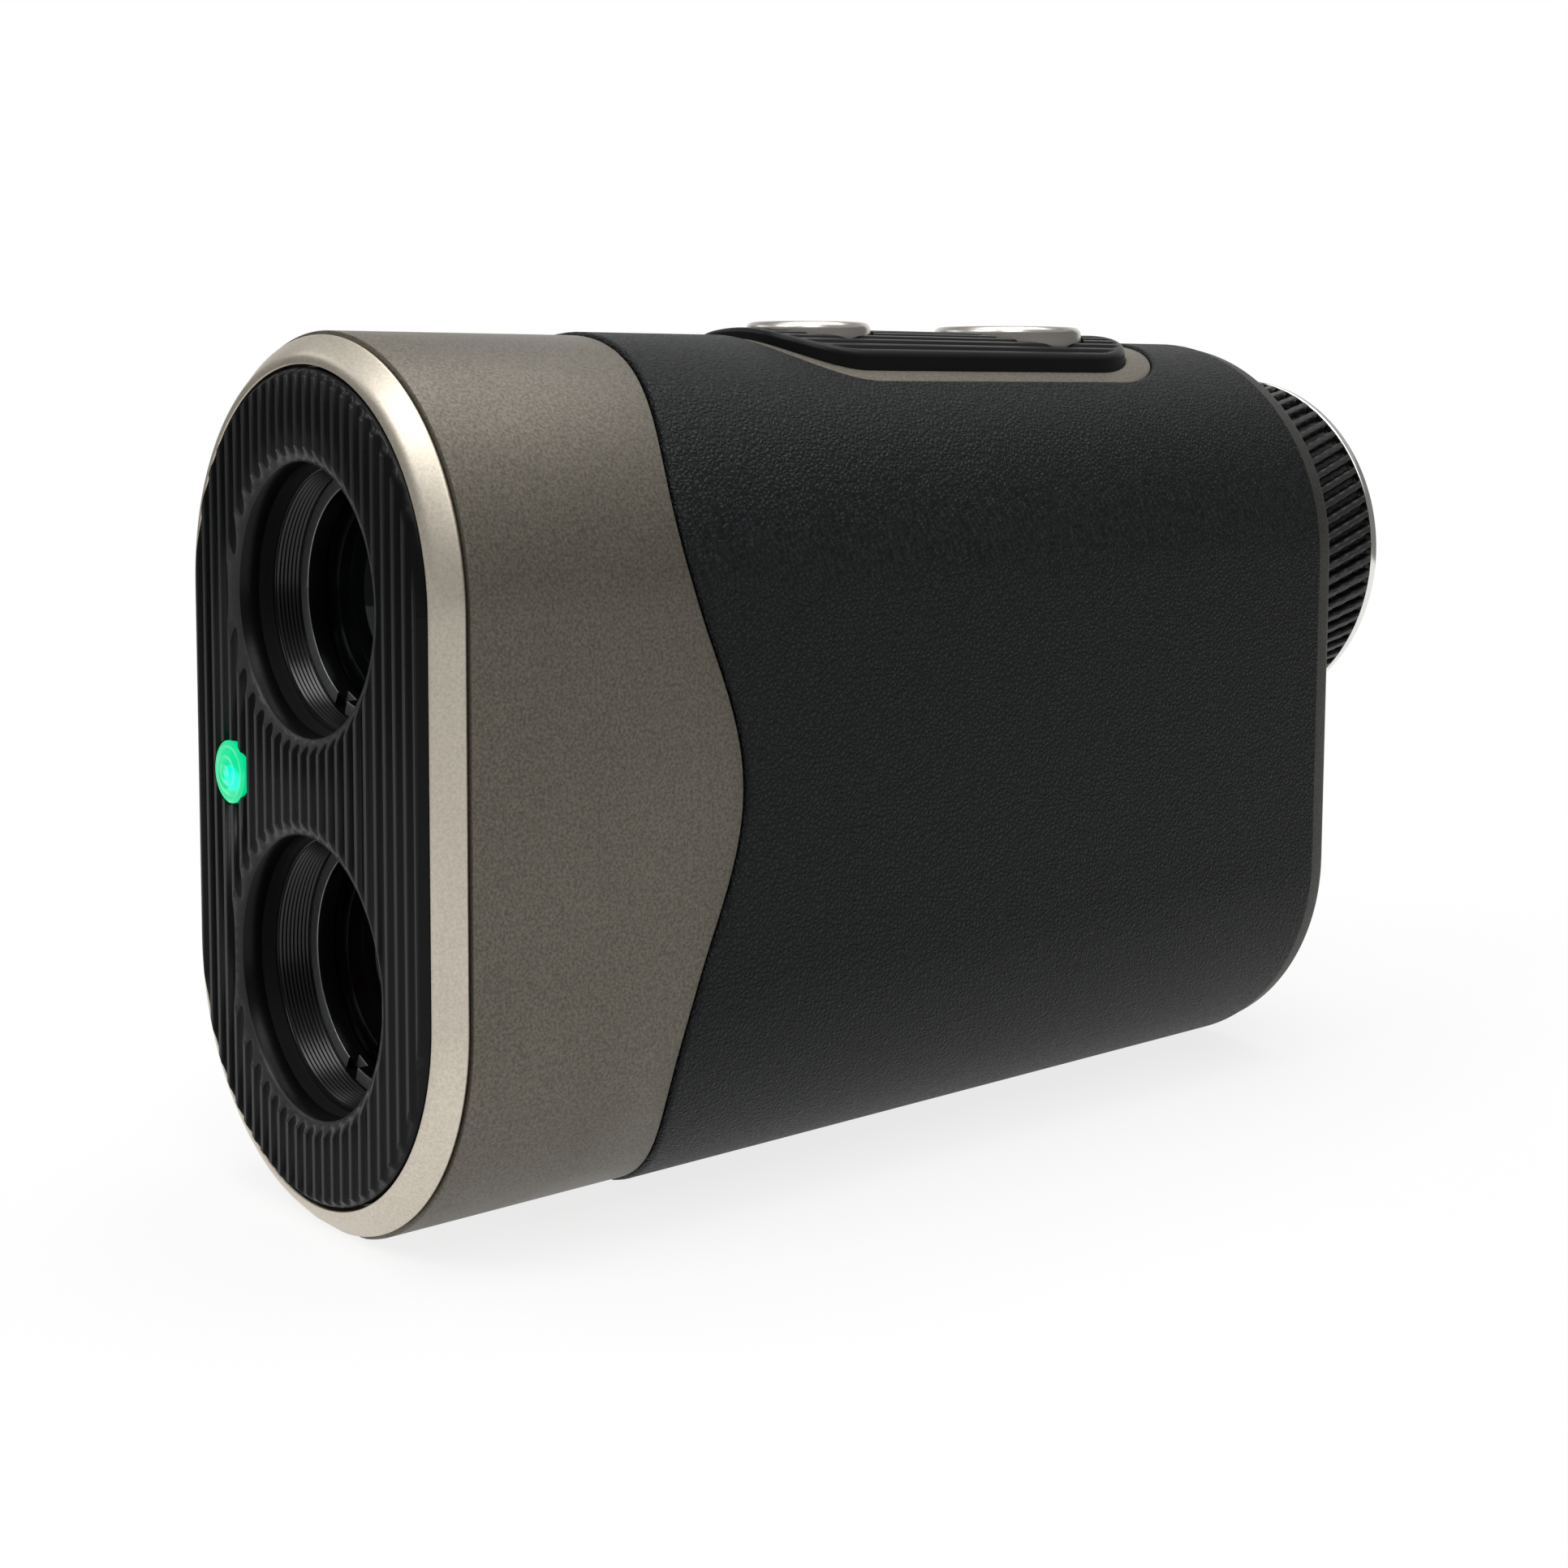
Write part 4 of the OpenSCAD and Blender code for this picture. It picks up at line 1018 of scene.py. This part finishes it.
def dioptre_mesh():
    """Ring with slanted ribs that are round at both ends."""
    ribs = round(TURN * RING_R / RIB_PITCH)
    steps, y_mid = ribs * RIB_STEPS, (ring_low.y + ring_high.y) / 2
    length = ring_high.y - ring_low.y
    along = list(RIB_ENDS)
    along += [RIB_END + (length - 2 * RIB_END) * i / RIB_ROWS for i in range(1, RIB_ROWS)]
    along += [length - e for e in reversed(RIB_ENDS)]
    rows = []
    for i in range(steps):
        turn = TURN * i / steps
        row = [(RING_BORE, ring_low.y)]
        for a in along:
            y = ring_low.y + a
            edge = min(a, length - a)
            phase = ribs * (turn - (y - y_mid) * RIB_SLANT / RING_R) / TURN
            wave = 0.5 + 0.5 * math.cos(TURN * phase)
            depth = RIB_DEPTH * smooth_step(*RIB_SIDE, wave)
            soft = RIB_END - math.sqrt(RIB_END ** 2 - (RIB_END - min(edge, RIB_END)) ** 2)
            row.append((RING_R - depth - soft, y))
        row.append((RING_BORE, ring_high.y))
        c, s = math.cos(turn), math.sin(turn)
        rows.append([(r * c, y, UP_Z + r * s) for r, y in row])
    return loft(rows)


verts, faces = dioptre_mesh()
finish_mesh("focus_ribs", verts, faces, "focus_ring", "ring_black", ["dioptre_ring"], sharp=50.0)


# Bright end ring and rubber eyecup

END_IN = 15.2
END_R = end_high.x
END_STEPS = 192
END_FRONT_EDGE = 0.18
END_REAR_EDGE = 0.5
END_BORE_EDGE = 0.3
axis_place = (0.0, 0.0, UP_Z)
end_profile = rounded([
    (END_IN, end_low.y, HIDDEN_EDGE), (END_R, end_low.y, END_FRONT_EDGE),
    (END_R, end_high.y, END_REAR_EDGE), (END_IN, end_high.y, END_BORE_EDGE)], RIM_STEPS)
verts, faces = lathe(end_profile + end_profile[:1], axis_place, "Y", END_STEPS)
finish_mesh("end_band", verts, faces, "focus_ring", "end_ring_metal", ["eyepiece_trim_ring"], sharp=60.0)

CUP_R = cup_high.x
CUP_BORE = 11.0
CUP_SHOULDER = 0.5
CUP_STEP = CUP_R - CUP_SHOULDER
CUP_LIP = 1.0
CUP_EDGE_STEPS = 6
CUP_OUT_EDGE = 0.35
CUP_LIP_EDGE = 0.4
CUP_BORE_EDGE = 0.3
cup_profile = rounded([
    (CUP_BORE, cup_low.y, HIDDEN_EDGE), (CUP_STEP, cup_low.y, HIDDEN_EDGE), (CUP_STEP, end_low.y, 0.0),
    (CUP_R, end_low.y, 0.0), (CUP_R, cup_high.y, CUP_OUT_EDGE),
    (CUP_R - CUP_LIP, cup_high.y, CUP_LIP_EDGE), (CUP_BORE, end_low.y, CUP_BORE_EDGE)], CUP_EDGE_STEPS)
verts, faces = lathe(cup_profile + cup_profile[:1], axis_place, "Y")
finish_mesh("eye_cup", verts, faces, "focus_ring", "seal_rubber", ["eyecup"], sharp=50.0)


# Status light: domed window with fine rings

LENS_TURNS = 96
LED_FLANGE = 0.6
LED_DOME = 0.45
LED_RIPPLE = 0.06
LED_STEPS = 40
LED_FADE_IN = (0.2, 0.6)
LED_FADE_OUT = 0.3
led_place = middle("led_lens")
LED_R = led_high.x - led_place.x - LED_FLANGE


def led_profile():
    """Section of the light window: rippled dome, flange and flat back."""
    points = []
    for i in range(LED_STEPS + 1):
        r = LED_R * i / LED_STEPS
        fall = LED_DOME * (r / LED_R) ** 2
        fade = smooth_step(*LED_FADE_IN, r) * smooth_step(LED_R, LED_R - LED_FADE_OUT, r)
        ripple = LED_RIPPLE * math.sin(TURN * r / LED_RING) * fade
        points.append((r, led_low.y + fall + ripple))
    points += [(LED_R, face_high.y), (LED_R + LED_FLANGE, face_high.y), (LED_R + LED_FLANGE, led_high.y),
               (0.0, led_high.y)]
    return points


verts, faces = lathe(led_profile(), led_place, "Y", LENS_TURNS)
finish_mesh("status_window", verts, faces, "housing", "status_light", ["led_lens"], sharp=50.0)


# Domed front lenses

LENS_CURVE = 32.0
LENS_STEPS = 32


def front_lens(name, node, slot):
    """Lens with a domed front and a flat back."""
    low, high = span(node)
    radius = high.x
    points = []
    for i in range(LENS_STEPS + 1):
        r = radius * i / LENS_STEPS
        points.append((r, low.y + LENS_CURVE - math.sqrt(LENS_CURVE * LENS_CURVE - r * r)))
    points += [(radius, high.y), (0.0, high.y)]
    verts, faces = lathe(points, middle(node), "Y", LENS_TURNS)
    finish_mesh(name, verts, faces, "housing", slot, [node], sharp=50.0)


front_lens("upper_lens", "objective_lens", "lens_glass")
front_lens("lower_lens", "receiver_lens", "filter_glass")


# Retaining rings with softened edges and two spanner notches

HOLDER_W = 1.2
HOLDER_EDGE = 0.12
NOTCH_W = 1.6
NOTCH_D = 0.9
NOTCH_TURN = math.radians(67)
NOTCH_WALL = 1.005
NOTCH_CLEAR = 0.01
HOLDER_TURNS = 192
HOLDER_EDGE_STEPS = 4
LIT_FACING_LIMIT = -0.3


def retaining_ring(name, node):
    """Ring with spanner notches, grey on the faces that look forward and black elsewhere: a split by
    facing that paints light on the front and shade on the other faces.
    """
    low, high = span(node)
    centre = (low + high) / 2
    outer = high.x
    inner = outer - HOLDER_W
    half = math.asin(NOTCH_W / 2 / (outer - HOLDER_W / 2))
    turns = [TURN * i / HOLDER_TURNS for i in range(HOLDER_TURNS)]
    notches = [NOTCH_TURN, NOTCH_TURN + math.pi]
    turns = [t for t in turns if all(abs(t - n) > half + NOTCH_CLEAR for n in notches)]
    cut = {}
    for n in notches:
        for step in (-half, half):
            cut[n + step * NOTCH_WALL] = False
            cut[n + step] = True
    rows = []
    for turn in sorted(turns + list(cut)):
        front = low.y + (NOTCH_D if cut.get(turn) else 0.0)
        profile = rounded([(inner, front, HOLDER_EDGE), (outer, front, HOLDER_EDGE),
                           (outer, high.y, INNER_EDGE), (inner, high.y, INNER_EDGE)], HOLDER_EDGE_STEPS)
        c, s = math.cos(turn), math.sin(turn)
        rows.append([(r * c, y, centre.z + r * s) for r, y in profile])
    verts, faces = loft(rows)
    ring = finish_mesh(name, verts, faces, "housing", "retainer_grey", [node])
    # Faces that look forward take the grey as painted light, the others take the black as painted shade
    ring.data.materials.append(materials["inner_black"])
    for face in ring.data.polygons:
        face.material_index = 0 if face.normal.y < LIT_FACING_LIMIT else 1


retaining_ring("upper_holder", "objective_retainer")
retaining_ring("lower_holder", "receiver_retainer")


# Threads in which the retaining rings sit, between the seal and each ring

THREAD_PITCH = 0.35
THREAD_DEPTH = 0.12
THREAD_FLAT = (0.4, 0.6)
THREAD_ROOT = 0.05
THREAD_START = 0.15
BORE_STEP = 0.5


def ring_thread(name, tube, ring):
    """Fine thread on the bore's wall, up to the front of the ring."""
    tube_low = span(tube)[0]
    ring_front = span(ring)[0].y
    wall = bore_radius(tube) - BORE_STEP
    start = tube_low.y + THREAD_START
    turns = int((ring_front - start) / THREAD_PITCH)
    points = [(wall + THREAD_ROOT, start)]
    for i in range(turns):
        y = start + i * THREAD_PITCH
        points.append((wall, y))
        points += [(wall - THREAD_DEPTH, y + share * THREAD_PITCH) for share in THREAD_FLAT]
        points.append((wall, y + THREAD_PITCH))
    points.append((wall + THREAD_ROOT, start + turns * THREAD_PITCH))
    verts, faces = lathe(points + points[:1], middle(tube), "Y")
    finish_mesh(name, verts, faces, "housing", "inner_black", sharp=30.0,
                look=materials["thread_black"])


ring_thread("upper_thread", "objective_barrel", "objective_retainer")
ring_thread("lower_thread", "receiver_barrel", "receiver_retainer")


# Stage: pale floor, world, lamps and camera

FLOOR = 3.0
FLOOR_SHADE = (0.45, 0.97)
FLOOR_NEAR_FAR = (0.04, 0.16)
FLOOR_GLOW = (0.80, 1.0)
floor_mesh = bpy.data.meshes.new("floor")
floor_mesh.from_pydata([(-FLOOR, -FLOOR, 0), (FLOOR, -FLOOR, 0), (FLOOR, FLOOR, 0), (-FLOOR, FLOOR, 0)],
                       [], [(0, 1, 2, 3)])
floor = bpy.data.objects.new("floor", floor_mesh)
bpy.context.scene.collection.objects.link(floor)


def seen_rays(nodes, links):
    """1 for rays that show the background: camera, glossy and transmission rays."""
    path = nodes.new("ShaderNodeLightPath")
    total = path.outputs["Is Camera Ray"]
    for kind in ("Is Glossy Ray", "Is Transmission Ray"):
        total = sums(nodes, links, "MAXIMUM", total, path.outputs[kind])
    return total


def floor_material():
    """Pale floor with a shadow near the part that fades into white."""
    made = bpy.data.materials.new("pale_floor")
    made.use_nodes = True
    nodes, links = made.node_tree.nodes, made.node_tree.links
    nodes.clear()
    out = nodes.new("ShaderNodeOutputMaterial")
    lit = nodes.new("ShaderNodeBsdfDiffuse")
    seen = seen_rays(nodes, links)
    links.new(remap(nodes, links, seen, (0.0, 1.0), FLOOR_SHADE), lit.inputs["Color"])
    glow = nodes.new("ShaderNodeEmission")
    place = nodes.new("ShaderNodeTexCoord").outputs["Object"]
    far = vectors(nodes, links, "LENGTH", place)
    fade = remap(nodes, links, far, FLOOR_NEAR_FAR, FLOOR_GLOW)
    share = sums(nodes, links, "MULTIPLY", seen, fade)
    mix = nodes.new("ShaderNodeMixShader")
    links.new(share, mix.inputs["Fac"])
    links.new(lit.outputs[0], mix.inputs[1])
    links.new(glow.outputs[0], mix.inputs[2])
    links.new(mix.outputs[0], out.inputs["Surface"])
    return made


floor_mesh.materials.append(floor_material())

SKY_BAND = (0.30, 0.65)
SKY_GLOW = (1.0, 0.35)
SKY_FILL = 0.20
world = bpy.data.worlds.new("studio")
bpy.context.scene.world = world
world.use_nodes = True
world_nodes, world_links = world.node_tree.nodes, world.node_tree.links
backdrop = world_nodes["Background"]
ways = world_nodes.new("ShaderNodeSeparateXYZ")
world_links.new(world_nodes.new("ShaderNodeTexCoord").outputs["Generated"], ways.inputs[0])
ceiling = remap(world_nodes, world_links, ways.outputs["Z"], SKY_BAND, SKY_GLOW)
strength = remap(world_nodes, world_links, seen_rays(world_nodes, world_links), (0.0, 1.0),
                 (SKY_FILL, ceiling))
world_links.new(strength, backdrop.inputs["Strength"])
backdrop.inputs["Color"].default_value = (1, 1, 1, 1)

# Lamps: place and size in metres, power in watts
LAMPS = {
    "key": ((0.42, -0.28, 0.62), (0.35, 0.35), 1.3),
    "top": ((0.0, 0.10, 0.70), (0.60, 0.60), 3.0),
    "front_fill": ((-0.01, -0.46, 0.62), (0.32, 0.24), 1.5),
    "side_fill": ((-0.52, -0.33, 0.34), (0.30, 0.24), 0.6),
}
aim = Vector((0.0, 0.0, MID_Z)) * MM


def lamp(name, place, size, power):
    """Soft rectangular lamp aimed at the part."""
    data = bpy.data.lights.new(name, "AREA")
    data.shape = "RECTANGLE"
    data.size, data.size_y = size
    data.energy = power
    obj = bpy.data.objects.new(name, data)
    obj.location = place
    obj.rotation_mode = "QUATERNION"
    obj.rotation_quaternion = (aim - Vector(place)).to_track_quat("-Z", "Y")
    obj.visible_camera = False
    bpy.context.scene.collection.objects.link(obj)


for name, values in LAMPS.items():
    lamp(name, *values)

WALL_REACH = 0.45
WALL_TOP = 0.30
WALL_FROM = -95
WALL_SWEEP = 285
WALL_STEPS = 48
WALL_GLOW = 0.22


def reflection_wall():
    """Grey studio wall beside and in front of the part, seen only in reflections."""
    turns = [math.radians(WALL_FROM + WALL_SWEEP * i / WALL_STEPS) for i in range(WALL_STEPS + 1)]
    rows = [[(WALL_REACH * math.sin(t), -WALL_REACH * math.cos(t), z) for t in turns]
            for z in (0.0, WALL_TOP)]
    verts, faces = loft(rows, closed_rows=False, closed_loop=False)
    mesh = bpy.data.meshes.new("reflection_wall")
    mesh.from_pydata(verts, [], faces)
    made = bpy.data.materials.new("grey_wall")
    made.use_nodes = True
    nodes, links = made.node_tree.nodes, made.node_tree.links
    nodes.clear()
    glow = nodes.new("ShaderNodeEmission")
    glow.inputs["Strength"].default_value = WALL_GLOW
    links.new(glow.outputs[0], nodes.new("ShaderNodeOutputMaterial").inputs["Surface"])
    mesh.materials.append(made)
    obj = bpy.data.objects.new("reflection_wall", mesh)
    bpy.context.scene.collection.objects.link(obj)
    obj.visible_camera = False
    obj.visible_diffuse = False
    obj.visible_transmission = False
    obj.visible_shadow = False


reflection_wall()

PHOTO_PX = 1932
SENSOR = 36.0
FOCAL_PX = 2888.0
CENTRE_PX = 740.0
CLIP = (0.01, 20.0)
# The camera aims this many millimetres behind the lip
AIM_BACK = 45.0
# Azimuth, elevation and roll in degrees; then millimetres to the side, up and back from the aim
CAMERA_TURN = (50.0533, 5.3052, 0.2743)
CAMERA_STAND = (3.04, 12.4348, 212.981)
CAMERA_AIM = Vector((0.0, LIP_Y + AIM_BACK, MID_Z))
camera_data = bpy.data.cameras.new("camera")
camera_data.sensor_width = SENSOR
camera_data.lens = FOCAL_PX / PHOTO_PX * SENSOR
camera_data.shift_y = (CENTRE_PX - PHOTO_PX / 2) / PHOTO_PX
camera_data.clip_start, camera_data.clip_end = CLIP
camera = bpy.data.objects.new("camera", camera_data)
bpy.context.scene.collection.objects.link(camera)
azimuth, elevation, roll = (math.radians(a) for a in CAMERA_TURN)
back = Vector((math.sin(azimuth) * math.cos(elevation), -math.cos(azimuth) * math.cos(elevation),
               math.sin(elevation)))
right = Vector((math.cos(azimuth), math.sin(azimuth), 0.0))
above = back.cross(right)
side = right * math.cos(roll) + above * math.sin(roll)
top = above * math.cos(roll) - right * math.sin(roll)
stand = CAMERA_AIM + side * CAMERA_STAND[0] + top * CAMERA_STAND[1] + back * CAMERA_STAND[2]
turned = Matrix((side, top, back)).transposed().to_4x4()
camera.matrix_world = Matrix.Translation(stand * MM) @ turned
bpy.context.scene.camera = camera
bpy.context.scene.view_settings.view_transform = "Standard"
